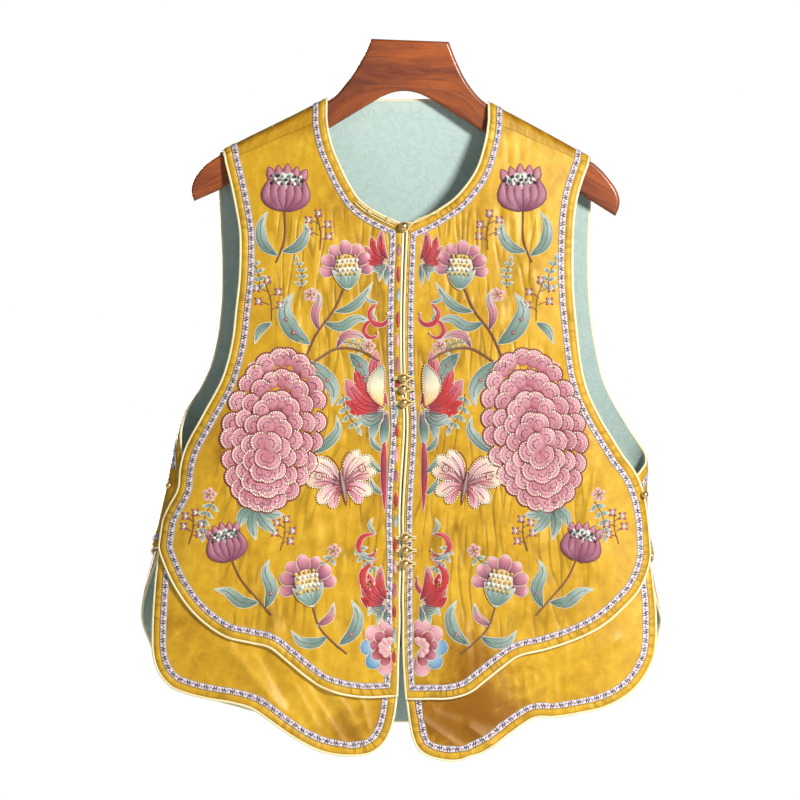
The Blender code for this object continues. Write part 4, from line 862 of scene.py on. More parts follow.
def seam_along(x, seam):
    """The height along the cloth at which the strap reaches the front seam."""
    drop = arc_start(x) - np.interp(x, *np.array(sorted(seam)).T)
    return arc_start(x) + math.pi * SHOULDER_RADIUS + drop


def strap_line(x_top, x_seam, seam):
    """A line over the shoulder, as (angle, height), from the back to the front seam."""
    turns = np.arange(35, 151, 5)
    first_turn = math.degrees(STRAP_START / SHOULDER_RADIUS)
    share = np.interp(turns, (first_turn, *STRAP_TURNS), (0, 0.2, 0.4, 0.6, 0.8))
    xs = x_top + (x_seam - x_top) * share
    along = arc_start(xs) + np.radians(turns) * SHOULDER_RADIUS
    rest = np.linspace(0, 1, 7)[1:]
    xs = np.concatenate([xs, x_top + (x_seam - x_top) * (0.8 + 0.2 * rest)])
    along = np.concatenate([along, along[-1] + (seam_along(x_seam, seam) - along[-1]) * rest])
    return np.column_stack([BACK_SHEET.angle(xs, SHOULDER_LEVEL), along])


def strap_edges(name, front):
    """For a strap's armhole and neck edges, by band: their x on the back and at the front seam."""
    shoulder, neck, _ = STRAPS[name]
    inward, ends = (1, (0, -1)) if name == "left" else (-1, (-1, 0))
    tables = []
    edges = ("armhole", shoulder, inward, ends[0]), ("neck", neck, -inward, ends[1])
    for edge, start, way, at_seam in edges:
        table = {}
        for band, distance in BOUND._asdict().items():
            end = getattr(front.outline, band)[edge][at_seam]
            table[band] = np.array([start + way * distance, FRONT_SHEET.point(*end)[0]])
        table["edge"] = table["cloth"] + TUCK * (table["piping"] - table["cloth"])
        tables.append(table)
    return tables


def add_straps(panel, fronts):
    """Adds both straps to the back, and gives each one's lines beside the armhole and the neck."""
    lines = {}
    for name, (_, _, seam) in STRAPS.items():
        arm, collar = strap_edges(name, fronts[f"front_{name}"][0])
        lines[name] = [
            {band: strap_line(*xs, seam) for band, xs in table.items()} for table in (arm, collar)]
        stops = [arm["edge"], arm["ribbon_out"], arm["ribbon_in"]]
        for one, other, count in (
            (arm["ribbon_in"], collar["ribbon_in"], SHOULDER_COLUMNS * FINE),
            (collar["ribbon_in"], collar["ribbon_out"], FINE),
            (collar["ribbon_out"], collar["edge"], FINE),
        ):
            stops += [one + (other - one) * i / count for i in range(1, count + 1)]
        across = [strap_line(*pair, seam) for pair in stops]
        columns = np.arange((SHOULDER_COLUMNS + 2) * FINE + 1)
        edge = 0
        if name == "right":
            columns, edge = panel.grid.shape[1] - 1 - columns, panel.ring - 1
        numbers = [edge, panel.ring + edge, *(panel.cell(0, j) for j in columns.tolist())]
        if name == "right":
            across, numbers = across[::-1], numbers[::-1]
        panel.add_strap(numbers, list(np.stack(across, axis=1)))
    return lines


def back_tier_panel():
    return Panel(
        BACK_TIER_SHEET,
        [
            side(BOUND, side_left=(9, BACK_TIER_SIDE_LEFT), hem_left=(5, BACK_HEM[0]),
                 hem_middle=(6, BACK_HEM[1]), hem_right=(5, BACK_HEM[2]),
                 side_right=(9, BACK_TIER_SIDE_RIGHT)),
            side(HIDDEN, top_right=(4, BACK_TIER_TOP[:3]), top_middle=(8, BACK_TIER_TOP[2:-2]),
                 top_left=(4, BACK_TIER_TOP[-3:])),
        ],
        ["side_left"], ["hem_left", "hem_middle", "hem_right"], ["side_right"],
        ["top_right", "top_middle", "top_left"],
    )


def seat(sheet, x, z, half=None):
    """A place on the cloth: its point, and unit vectors along it to the right, up, and out of it."""
    at = np.array([[float(sheet.angle(x, z, half)), z]])
    (point,), (out,) = sheet.raised(at)
    up = unit(np.array([0, 0, 1.0]) - out[2] * out)
    return point, np.cross(up, out), up, out


def cord_loop(place, radius, heading, length):
    """A loop whose two tails run side by side from the ball, towards a heading in radians."""
    point, right, up, out = place
    along = np.array([math.cos(heading), math.sin(heading)])
    across = np.array([-along[1], along[0]]) * (LOOP_RADIUS + SEAM_GAP / 2)
    rise = PIPING_RADIUS - FRONT_WALL / 2 + SEAM_GAP + radius
    turn = math.sqrt((radius + LOOP_RADIUS + SEAM_GAP) ** 2 - (rise - LOOP_LEVEL) ** 2)
    throat = along * (turn + 1.8)
    flat = [along * length + across, throat + across * 1.15]
    for angle in heading + np.radians(np.linspace(34, 326, 7)):
        flat.append(np.array([math.cos(angle), math.sin(angle)]) * turn)
    flat += [throat - across * 1.15, along * length - across]
    return np.array([point + right * a + up * b + out * LOOP_LEVEL for a, b in flat])


# ---------------------------------------------------------------- meshes

class Making:
    """Points and faces gathered for one mesh, with thread coordinates in mm and a dye at each point that
    also carries painted shade.
    """

    def __init__(self):
        self.points, self.faces, self.threads, self.dyes, self.finishes, self.count = [], [], [], [], [], 0

    def add(self, points, faces, threads=None, dye=(1.0, 1.0, 1.0), finish=0):
        points = np.asarray(points, float).reshape(-1, 3)
        threads = points[:, :2] if threads is None else np.asarray(threads, float).reshape(-1, 2)
        self.points.append(points)
        self.threads.append(threads)
        self.dyes.append(np.broadcast_to(np.asarray(dye, float).reshape(-1, 3), points.shape))
        self.faces += (np.asarray(faces) + self.count).tolist()
        self.finishes += np.broadcast_to(finish, (len(faces),)).tolist()
        self.count += len(points)

    def made(self, name, paints, slot, nodes=(), sharp=40.0, move=None):
        """The piece: it rides on the part's one body, and stands for the nodes."""
        points = np.vstack(self.points)
        points = move(points) if move else points
        mesh = bpy.data.meshes.new(name)
        mesh.from_pydata((points * MM).tolist(), [], self.faces)
        corners = np.empty(len(mesh.loops), np.int32)
        mesh.loops.foreach_get("vertex_index", corners)
        layer = mesh.uv_layers.new(name="Threads")
        layer.data.foreach_set("uv", np.vstack(self.threads)[corners].ravel())
        dye = mesh.color_attributes.new("Dye", "FLOAT_COLOR", "POINT")
        dye.data.foreach_set("color", np.insert(np.vstack(self.dyes), 3, 1.0, axis=1).ravel())
        for paint in paints:
            mesh.materials.append(paint)
        mesh.polygons.foreach_set("material_index", self.finishes)
        mesh.shade_smooth()
        mesh.set_sharp_from_angle(angle=math.radians(sharp))
        mesh.validate()
        piece = linked(name, mesh)
        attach(piece, BODY)
        if nodes:
            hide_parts(*nodes)
        return piece


def linked(name, data):
    """A new object in the scene."""
    made = bpy.data.objects.new(name, data)
    bpy.context.scene.collection.objects.link(made)
    return made


def crossed(one, other):
    """Pairs of every value of the first list with every value of the second."""
    return np.stack(np.broadcast_arrays(one[:, None], other[None]), axis=-1)


def tube(making, points, radius, sides=8, dye=(1.0, 1.0, 1.0)):
    """Adds a round cord through the points, with closed ends."""
    points = np.asarray(points, float)
    points = points[np.diff(lengths_along(points), prepend=-1) > 1e-6]
    ahead = unit(np.gradient(points, axis=0))
    side = np.cross(ahead[0], [0, 0, 1.0] if abs(ahead[0][2]) < 0.9 else [1.0, 0, 0])
    firsts = []
    for step in ahead:
        side = unit(side - side.dot(step) * step)
        firsts.append(side)
    firsts = np.array(firsts)
    seconds = np.cross(ahead, firsts)
    turns = np.linspace(0, 2 * math.pi, sides + 1)[None, :, None]
    ring = radius * (np.cos(turns) * firsts[:, None] + np.sin(turns) * seconds[:, None])
    along = lengths_along(points)
    threads = crossed(along, np.linspace(0, 1, sides + 1))
    making.add(points[:, None] + ring, grid_faces(len(points), sides + 1), threads, dye)
    for end, order in ((0, 1), (-1, -1)):
        rim = points[end] + ring[end, :-1]
        making.add(rim, [list(range(sides))[::order]], np.full((sides, 2), along[end]), dye)


def strip(making, outer, inner, profile, seam=0):
    """Adds a narrow band between two lines of (points, normals).

    The profile holds (share of the width, millimetres more, height). A seam is the finish of its
    outermost faces, which on the bindings is painted shade in the grooves at their sides.
    """
    shares, more, heights = np.array(profile, float).T
    across = inner[0] - outer[0]
    width = np.linalg.norm(across, axis=1)
    reach = shares * width[:, None] + more
    normals = (outer[1] + inner[1]) / 2
    points = outer[0][:, None] + reach[..., None] * unit(across)[:, None]
    points = points + heights[None, :, None] * normals[:, None]
    threads = crossed(lengths_along((outer[0] + inner[0]) / 2), shares * width.mean() + more)
    faces = grid_faces(len(points), len(shares))
    facing = np.cross(points[1, 0] - points[0, 0], points[0, -1] - points[0, 0]).dot(normals[0])
    finish = np.zeros((len(points) - 1, len(shares) - 1), int)
    finish[:, [0, -1]] = seam
    making.add(points, faces if facing > 0 else faces[:, ::-1], threads, finish=finish.ravel())


def sphere(segments, rings):
    """Points and faces of a unit ball, as whole rings of quads between two poles."""
    tilt = np.linspace(0, math.pi, rings + 1)[:, None]
    turn = np.linspace(0, 2 * math.pi, segments + 1)
    level = np.sin(tilt)
    points = np.stack([level * np.cos(turn), level * np.sin(turn), np.cos(tilt) + 0 * turn], axis=-1)
    return points.reshape(-1, 3), grid_faces(rings + 1, segments + 1)[:, ::-1]


# ---------------------------------------------------------------- paints

class Wire:
    """A shader socket that takes part in Python arithmetic: each operation adds its Math node."""

    def __init__(self, paint, socket):
        self.paint, self.socket = paint, socket

    def math(self, operation, *values):
        return self.paint.node("ShaderNodeMath", {"operation": operation}, values)

    def __add__(self, other):
        return self.math("ADD", self, other)

    def __sub__(self, other):
        return self.math("SUBTRACT", self, other)

    def __rsub__(self, other):
        return self.math("SUBTRACT", other, self)

    def __mul__(self, other):
        return self.math("MULTIPLY", self, other)

    def __truediv__(self, other):
        return self.math("DIVIDE", self, other)

    def __mod__(self, other):
        return self.math("FLOORED_MODULO", self, other)

    def __lt__(self, other):
        return self.math("LESS_THAN", self, other)

    def __gt__(self, other):
        return self.math("GREATER_THAN", self, other)

    def __abs__(self):
        return self.math("ABSOLUTE", self)

    __radd__, __rmul__ = __add__, __mul__


class Paint:
    """A material written as Python. node() adds any node and returns one of its outputs."""

    def __init__(self, name):
        self.material = bpy.data.materials.new(name)
        self.material.use_nodes = True
        self.tree = self.material.node_tree
        self.tree.nodes.clear()

    def node(self, kind, settings, values=(), output=0):
        made = self.tree.nodes.new(kind)
        for key, value in settings.items():
            setattr(made, key, value)
        for key, value in values.items() if isinstance(values, dict) else enumerate(values):
            if isinstance(value, Wire):
                self.tree.links.new(value.socket, made.inputs[key])
            else:
                made.inputs[key].default_value = value
        return Wire(self, made.outputs[output]) if made.outputs else made

    def threads(self, scale=(1, 1), shift=(0, 0)):
        """Thread coordinates in millimetres, along and across, times the scale."""
        where = self.node("ShaderNodeUVMap", {"uv_map": "Threads"})
        settings = {"operation": "MULTIPLY_ADD"}
        return self.node("ShaderNodeVectorMath", settings, [where, (*scale, 1), (*shift, 0)])

    def parts(self, where):
        return [self.node("ShaderNodeSeparateXYZ", {}, [where], i) for i in (0, 1)]

    def dye(self):
        """The colour painted on the mesh's own points; on the silk it marks wear, painted shade and
        puckers.
        """
        return self.node("ShaderNodeAttribute", {"attribute_name": "Dye"})

    def noise(self, where, detail, roughness=0.5, distortion=0.0):
        """Noise from 0 to 1 whose lumps are about one unit apart."""
        return self.node("ShaderNodeTexNoise", {}, {
            "Vector": where, "Scale": 1.0, "Detail": detail, "Roughness": roughness,
            "Distortion": distortion})

    def lumps(self, along, across, detail=2.0, roughness=0.5, distortion=0.0, shift=(0, 0)):
        """Noise whose lumps are so many millimetres long, along the threads, and across."""
        return self.noise(self.threads((1 / along, 1 / across), shift), detail, roughness, distortion)

    def spread(self, value, low, high, to_low=0.0, to_high=1.0):
        """The value's stretch from low to high, eased and clamped, on another scale."""
        eased = {"interpolation_type": "SMOOTHSTEP"}
        return self.node("ShaderNodeMapRange", eased, [value, low, high, to_low, to_high])

    def mixed(self, share, one, other):
        return self.node("ShaderNodeMix", {"data_type": "RGBA"}, {0: share, 6: one, 7: other}, 2)

    def toned(self, colour, factor):
        """A colour made lighter or darker by a factor."""
        return self.node("ShaderNodeVectorMath", {"operation": "SCALE"}, {0: colour, "Scale": factor})

    def finished(self, colour, roughness, relief=None, depth=0.1, **more):
        """The material, with a bump of the depth in millimetres where there is a relief.

        The other values are for the shader's sockets, with a line for each space in their names.
        """
        values = {"Base Color": colour, "Roughness": roughness}
        values.update((name.replace("_", " "), value) for name, value in more.items())
        if relief is not None:
            bump = {"Distance": depth * MM, "Height": relief}
            values["Normal"] = self.node("ShaderNodeBump", {}, bump)
        shader = self.node("ShaderNodeBsdfPrincipled", {}, values)
        self.node("ShaderNodeOutputMaterial", {}, {"Surface": shader})
        return self.material


def rgba(colour, factor=1.0):
    return (*(part * factor for part in colour), 1.0)


def silk_paint(name, gold, shade, glow, shine=0.42):
    """Gold satin, clouded with a worn brown patina and painted shade where its dye says, with fine slubs
    along the weft and painted crease shade in its pleats.
    """
    paint = Paint(name)
    cloud = paint.lumps(70, 90, 4.0, 0.6, 0.6)
    blotch = paint.lumps(11, 15, 4.0, 0.6, 0.3, (7, 3))
    slub = paint.lumps(14, 0.7, 2.0, 0.6)
    warp = paint.lumps(0.5, 16, 1.0)
    # Pleat lines: a bump, and painted crease shade that darkens their valleys where stitching puckers the
    # silk.
    pleat_and_shade = paint.spread(abs(paint.lumps(10, 60, 0.5, shift=(2, 6)) - 0.5), 0.0, 0.11)
    where = paint.spread(paint.lumps(45, 45, shift=(9, 2)), 0.36, 0.56)
    # The dye's first channel is 0 where the silk is worn and where shade is painted; its second, how much
    # stitching puckers it.
    fresh_and_lit, puckered = (paint.node("ShaderNodeSeparateColor", {}, [paint.dye()], i) for i in (0, 1))
    pleat_and_shade = 1 - where * (1 - pleat_and_shade) * puckered
    # Patina clouds and blotches, with the painted shade of the dye's brown places, mix in the worn colour.
    wear_and_shade = paint.spread(cloud * 0.55 + blotch * 0.55 + fresh_and_lit * 0.50, 0.56, 1.17)
    bright = paint.spread(cloud * 0.4 + blotch * 0.6, 0.50, 0.72) * fresh_and_lit
    colour = paint.mixed(wear_and_shade, rgba(shade), rgba(gold))
    colour = paint.mixed(bright * 0.6, colour, rgba(glow))
    # Slubs and warp vary the tone; the pleats' valleys are painted darker here as crease shade.
    colour = paint.toned(colour, 0.54 + slub * 0.13 + warp * 0.11 + pleat_and_shade * 0.27)
    relief = slub * 0.24 + warp * 0.16 + blotch * 0.8 + pleat_and_shade * 1.7
    return paint.finished(
        colour, shine + 0.08 * slub - 0.06 * wear_and_shade, relief, 0.35, Specular_IOR_Level=0.42,
        Specular_Tint=(1.0, 0.87, 0.6, 1.0), Sheen_Weight=0.05, Sheen_Roughness=0.35, Sheen_Tint=rgba(glow))


def lining_paint(name, ground, figure):
    """Figured silk: a vine and leaves in the ground's own colour, told by their sheen."""
    paint = Paint(name)
    bend = paint.lumps(17, 17, 2.0, 0.5, 1.2)
    vine = 1 - paint.spread(abs(bend - 0.5), 0.010, 0.07)
    leaf_shape = paint.spread(paint.lumps(12, 12, 3.0, 0.5, 2.0, (5, 9)), 0.54, 0.62)
    mask = vine.math("MAXIMUM", vine, leaf_shape * 0.7)
    weft = paint.lumps(8, 0.6)
    colour = paint.mixed(mask * 0.55, rgba(ground), rgba(figure))
    colour = paint.toned(colour, 0.86 + weft * 0.28)
    return paint.finished(colour, 0.36 + 0.22 * mask, mask + weft, 0.045, Sheen_Weight=0.15)


def ribbon_paint(name, ground, ink, pink, plum):
    """White ribbon woven with black zigzags between pink and plum dots, darkened to a line at each side as
    painted shadow of the gap beside it.
    """
    paint = Paint(name)
    along, across = paint.parts(paint.threads())
    width, period = 5.6, 8.4
    step = along / period
    share = step % 1.0
    flip = ((step / 2) % 1.0) < 0.5
    middle = (across - width / 2) * (flip * 2.0 - 1.0)
    zigzag = (abs((share * 4.0) % 1.0 - 0.5) * 4.0 - 1.0) * 1.6
    stroke = (abs(middle - zigzag) < 1.75) * (share < 0.60) * (share > 0.04)
    uneven = paint.lumps(0.8, 0.8, 1.0)

    def dot(place, off, radius):
        gone, aside = (share - place) * period, middle - off
        return (gone * gone + aside * aside) < radius * radius

    pinks = along.math("MAXIMUM", dot(0.72, 0.7, 0.95), dot(0.95, -0.6, 0.8))
    # Painted shadow: the ribbon darkens to a line at each side, where it meets its neighbours.
    edge = paint.spread(abs(across - width / 2), width / 2 - 0.62, width / 2 - 0.3)
    colour = paint.mixed(uneven * 0.5, rgba(ground), rgba(ground, 0.86))
    colour = paint.mixed(pinks * 0.85, colour, rgba(pink))
    colour = paint.mixed(dot(0.82, -0.8, 0.9) * 0.9, colour, rgba(plum))
    colour = paint.mixed(stroke * (uneven > 0.38), colour, rgba(ink))
    colour = paint.mixed(edge * 0.8, colour, rgba(ground, 0.30))
    rib = along.math("SINE", along * 9.0)
    return paint.finished(colour, 0.62, rib + stroke + pinks * 2.0, 0.05, Sheen_Weight=0.2)


def twisted(paint, body, dark, pitch):
    """Finishes a paint as twisted cord, whose strands run round it once in each pitch, with painted shade
    in the grooves between them.
    """
    along, around = paint.parts(paint.threads())
    strand = abs(((along / pitch + around) * 2.0) % 1.0 - 0.5) * 2.0
    fuzz = paint.lumps(3, 1 / 7)
    # The dark colour fills the grooves between the strands: painted shade.
    colour = paint.toned(paint.mixed(paint.spread(strand, 0.62, 1.0), body, dark), 0.82 + fuzz * 0.36)
    return paint.finished(colour, 0.45, 1 - strand * strand, 0.12, Sheen_Weight=0.2)


def cord_paint(name, colour, dark):
    return twisted(Paint(name), rgba(colour), rgba(dark), 1.5)


def dyed_cord_paint(name):
    paint = Paint(name)
    # Half the dye's brightness is the painted shade in the cord's grooves.
    return twisted(paint, paint.dye(), paint.toned(paint.dye(), 0.5), 1.1)


def piping_paint(name, cream, dark):
    """Satin bias over a cord, smooth but for the small puckers of its seam."""
    paint = Paint(name)
    pucker = paint.lumps(2.2, 1 / 3)
    soil = paint.lumps(30, 1, 3.0, shift=(4, 0))
    colour = paint.mixed(paint.spread(soil, 0.45, 0.75, 0.0, 0.5), rgba(cream), rgba(dark))
    colour = paint.toned(colour, 0.88 + pucker * 0.24)
    return paint.finished(colour, 0.38, pucker, 0.12, Sheen_Weight=0.2)


def stitch_paint(name):
    """Satin stitches in the dye of each point: silk threads side by side."""
    paint = Paint(name)
    strand = paint.lumps(5, 0.42, 2.0, 0.6)
    clump = paint.lumps(9, 1.7, shift=(3, 8))
    colour = paint.toned(paint.dye(), 0.48 + strand * 0.62 + clump * 0.44)
    return paint.finished(colour, 0.44, strand + clump * 0.6, 0.30, Sheen_Weight=0.3, Sheen_Roughness=0.4)


def bead_paint(name):
    paint = Paint(name)
    mottle = paint.noise(paint.threads((0.9, 0.9)), 1.0)
    return paint.finished(paint.toned(paint.dye(), 0.85 + mottle * 0.3), 0.25, Coat_Weight=0.3)


def brass_paint(name, brass, tarnish):
    paint = Paint(name)
    age = paint.noise(paint.threads((1.2, 1.2)), 3.0)
    colour = paint.mixed(paint.spread(age, 0.42, 0.7, 0.0, 0.7), rgba(brass), rgba(tarnish))
    return paint.finished(colour, 0.22 + 0.2 * age, age, 0.05, Metallic=1.0)


def wood_paint(name, light, dark, line):
    """Varnished wood. The thread coordinates run along its grain."""
    paint = Paint(name)
    figure = paint.lumps(120, 17, 4.0, 0.6, 0.6)
    grain = paint.lumps(60, 1.6, 4.0, 0.65, 0.3, (0, 5))
    pores = paint.lumps(9, 0.45, shift=(9, 1))
    colour = paint.mixed(paint.spread(figure, 0.30, 0.68), rgba(dark), rgba(light))
    colour = paint.mixed(paint.spread(grain, 0.52, 0.74, 0.0, 0.6), colour, rgba(line))
    colour = paint.mixed(paint.spread(pores, 0.58, 0.70, 0.0, 0.5), colour, rgba(line, 0.5))
    return paint.finished(colour, 0.36 + 0.12 * grain, figure + grain * 0.3 + pores * 0.2, 0.25,
                          Coat_Weight=0.2, Coat_Roughness=0.12, Specular_IOR_Level=0.4)


def floor_paint(name, colour):
    paint = Paint(name)
    speck = paint.noise(paint.node("ShaderNodeTexCoord", {}, (), 3), 3.0)
    return paint.finished(paint.toned(tuple(colour), 0.98 + speck * 0.04), 0.8)


# ---------------------------------------------------------------- cloth

# The lines that the trims follow: (points, normals) of three bands, and the points of the piping's middle.
Edge = namedtuple("Edge", "piping ribbon_out ribbon_in cord")
EDGE_BANDS = Edge._fields[:3]
Garment = namedtuple("Garment", "fronts back tier_back lining edges")
FRONT_RUNS = {
    "front_left": ["side", "tier_side", "tier_outer", "tier_inner", "centre"],
    "front_right": ["centre", "tier_inner", "tier_outer", "tier_side", "side"],
    "tier_front_left": ["side", "hem_outer", "hem_inner", "centre"],
    "tier_front_right": ["centre", "hem_inner", "hem_outer", "side"],
}
HEM_RUNS = ["side_left", "hem_left", "hem_middle", "hem_right", "side_right"]


def panel_edge(panel, names, depth, cord_depth):
    lines = [panel.sheet.raised(chain(getattr(panel.outline, band), names), depth) for band in EDGE_BANDS]
    return Edge(*lines, panel.sheet.raised(chain(panel.outline.piping, names), depth + cord_depth)[0])


def over_shoulder_edge(parts):
    """An edge from the parts of each band: stretches of (sheet, line, whether it lies on the back)."""
    def line(band, front_depth, back_depth):
        stretches = [sheet.raised(part, back_depth if behind else front_depth)
                     for sheet, part, behind in parts[band]]
        return tuple(np.vstack(columns) for columns in zip(*stretches))
    cord = line("piping", FRONT_WALL / 2, BACK_CORD_DEPTH)[0]
    return Edge(*(line(band, 0, 0) for band in EDGE_BANDS), cord)


def armhole_edge(name, fronts, back, straps):
    parts = {}
    for band in EDGE_BANDS:
        front = getattr(fronts[f"front_{name}"][0].outline, band)["armhole"]
        over = straps[name][0][band]
        runs = [f"yoke_{name}", f"armhole_{name}"]
        if name == "left":
            front, over = front[::-1], over[::-1]
            behind = chain(getattr(back.outline, band), runs)
        else:
            over, behind = over[::-1], chain(getattr(back.outline, band), runs[::-1])[::-1]
        parts[band] = [(FRONT_SHEET, front, False), (BACK_SHEET, over, False), (BACK_SHEET, behind, True)]
    return over_shoulder_edge(parts)


def back_neck_lines(back):
    """The neck's lines across the back, from left to right. They turn each corner on repeated points."""
    grid, last = back.grid, back.grid.shape[1] - 1
    at_in, at_out, at_cloth = ((SHOULDER_COLUMNS + i) * FINE for i in range(3))
    piped = grid[0, at_cloth:last - at_cloth + 1] + [0, BOUND.cloth - BOUND.piping]
    piped[0][0] = BACK_SHEET.angle(NECK_LEFT - BOUND.piping, SHOULDER_LEVEL)
    piped[-1][0] = BACK_SHEET.angle(NECK_RIGHT + BOUND.piping, SHOULDER_LEVEL)

    def turned(down, row):
        level = [(row, j) for j in range(at_out + 1, last - at_out)]
        return down + level + [(i, last - j) for i, j in down[::-1]]

    outer = turned([(i, at_out) for i in range(FINE + 1)] + [(FINE, at_out)] * (2 * FINE), FINE)
    inner = [(i, at_in) for i in range(2 * FINE + 1)] + [(2 * FINE, at_in + i) for i in range(1, FINE + 1)]
    inner = turned(inner, 2 * FINE)
    places = [min(max(j - at_cloth, 0), len(piped) - 1) for _, j in outer]
    return {
        "piping": piped[places],
        "ribbon_out": np.array([grid[place] for place in outer]),
        "ribbon_in": np.array([grid[place] for place in inner]),
    }


def neck_edge(fronts, back, straps):
    parts = {}
    for band, across in back_neck_lines(back).items():
        left, right = (getattr(fronts[f"front_{name}"][0].outline, band)["neck"] for name in BOTH)
        parts[band] = [
            (FRONT_SHEET, left, False),
            (BACK_SHEET, straps["left"][1][band][::-1], False),
            (BACK_SHEET, across, True),
            (BACK_SHEET, straps["right"][1][band], False),
            (FRONT_SHEET, right, False),
        ]
    return over_shoulder_edge(parts)


@functools.cache
def garment():
    """Every panel and edge, cut once."""
    fronts = front_panels()
    back, tier_back = back_panel(), back_tier_panel()
    lining = list(back.at), list(back.faces)
    straps = add_straps(back, fronts)
    edges = {}
    for name, (panel, depth) in fronts.items():
        edges[name] = panel_edge(panel, FRONT_RUNS[name], depth, FRONT_WALL / 2)
    edges["back"] = panel_edge(back, BACK_TIER_RUNS, 0.0, BACK_CORD_DEPTH)
    edges["tier_back"] = panel_edge(tier_back, HEM_RUNS, 0.0, BACK_CORD_DEPTH)
    for name in BOTH:
        edges[f"armhole_{name}"] = armhole_edge(name, fronts, back, straps)
    edges["neck"] = neck_edge(fronts, back, straps)
    return Garment(fronts, back, tier_back, lining, edges)


# Places where the silk is painted brown, partly for its worn patina and partly as painted shade: under the
# upper layer's edge, on the right tier where it turns from the light, at the sides under the arms and over
# the shoulders.
# Their middles, their reach each way and how brown they are.
WornAndShaded = namedtuple("WornAndShaded", "x z wide tall strength")
WORN_AND_SHADED = [WornAndShaded(*row) for row in (
    (52, -632, 66, 36, 1.2),
    (-236, -470, 16, 70, 1.0),
    (232, -480, 12, 60, 0.8),
    (-100, -76, 60, 14, 0.55),
    (100, -76, 60, 14, 0.55),
    (-208, -545, 26, 12, 0.35),
    (66, -575, 40, 22, 0.6),
    (176, -352, 22, 60, 0.35),
    (-176, -352, 18, 50, 0.3),
    (-64, -158, 16, 26, 0.3),
    (64, -158, 16, 26, 0.3),
    (-60, -646, 26, 16, 0.4),
    (34, -300, 18, 120, 0.3),
    (-30, -300, 14, 120, 0.3),
)]


def silk_state(points, facing):
    """For the silk's dye: how fresh and lit it is, 0 where wear and painted shade brown it, and how much
    stitching puckers it.
    """
    x, y, z = points.T
    # Brown where the silk is worn, and where shade is painted on it.
    worn_and_shaded = sum(w.strength * np.exp(-((x - w.x) / w.wide) ** 2 - ((z - w.z) / w.tall) ** 2) for w in WORN_AND_SHADED)
    fresh_and_lit = 1 - np.clip(worn_and_shaded, 0, 1)
    if facing == BEHIND:
        # The back is plain, and painted darker where it turns over the shoulders: painted shade.
        over = ease((2 - y) / 3) * (1 - 0.7 * ease((-y - 5) / 6)) * (z > -150)
        fresh_and_lit, puckered = 0.9 + 0.1 * fresh_and_lit - 0.62 * over, np.full(len(points), 0.15)
    else:
        reach = 135 + 55 * ease((-z - 290) / 120)
        puckered = ease((reach - np.abs(x)) / 25) * ease((-z - 140) / 40) * ease((z + 575) / 40)
    return np.column_stack([fresh_and_lit, puckered, np.zeros(len(points))])


def wall(sheet, at, faces, depth, thickness, inside=0):
    """A closed wall of cloth, its outer face the depth inside the sheet. Its inside has its own finish."""
    at, faces = np.asarray(at), np.asarray(faces)
    outer, normals = sheet.raised(at, depth)
    if sheet.facing == BEHIND:
        faces = faces[:, ::-1]
    steps = np.concatenate([faces[:, [i, (i + 1) % 4]] for i in range(4)])
    known = {tuple(step) for step in steps.tolist()}
    under = len(at)
    rim = sorted((b, a, under + a, under + b) for a, b in known if (b, a) not in known)
    # The silk's dye marks where it is worn, where shade is painted on it, and where it puckers.
    threads, state = sheet.by_girth(at), silk_state(outer, sheet.facing)
    finish = np.repeat([0, inside], [len(faces) + len(rim), len(faces)])
    making = Making()
    making.add([outer, outer - thickness * normals], np.vstack([faces, rim, faces[:, ::-1] + under]),
               [threads, threads], [state, state], finish)
    return making


# The fields of a cut piece's pattern: its width and length, and the pattern's area. Nothing here fills
# them.
Pattern = namedtuple("Pattern", "width length area")


def hung(making, name, paints, slot):
    """One cut piece, made as the silk of the node it stands for."""
    piece = making.made(name + "_silk", paints, slot, [name])


def make_fronts(looks):
    paints = [looks.silk(), looks.lining()]
    for name, (panel, depth) in garment().fronts.items():
        hung(wall(FRONT_SHEET, panel.at, panel.faces, depth, FRONT_WALL, 1), name, paints, "gold_silk")


def make_back(looks):
    cut, silk, lining = garment(), [looks.silk()], [looks.lining()]
    back, tier = (cut.back.at, cut.back.faces), (cut.tier_back.at, cut.tier_back.faces)
    hung(wall(BACK_SHEET, *back, 0.0, BACK_WALL), "back", silk, "gold_silk")
    hung(wall(BACK_TIER_SHEET, *tier, 0.0, BACK_WALL), "tier_back", silk, "gold_silk")
    hung(wall(BACK_SHEET, *cut.lining, LINING_DEPTH, LINING_WALL), "lining_back", lining, "lining_silk")
    hung(wall(BACK_TIER_SHEET, *tier, LINING_DEPTH, LINING_WALL), "lining_tier_back", lining, "lining_silk")


# ---------------------------------------------------------------- trims

# Profiles of the narrow bands: share of the width, millimetres more, height above the cloth.
RIBBON_PROFILE = [
    (0, 0, -0.15), (0, 0.05, 0.4), (0, 0.4, 0.6), (0.5, 0, 0.68), (1, -0.4, 0.6), (1, -0.05, 0.4),
    (1, 0, -0.15),
]
BINDING_PROFILE = [
    (0, 1.15, -0.1), (0, 1.75, 0.05), (0, 2.15, 0.45), (0.5, 0.4, 0.52), (1, -1.1, 0.45), (1, -0.65, 0.05),
    (1, -0.1, -0.1),
]
TRIM_SHARP = 60.0


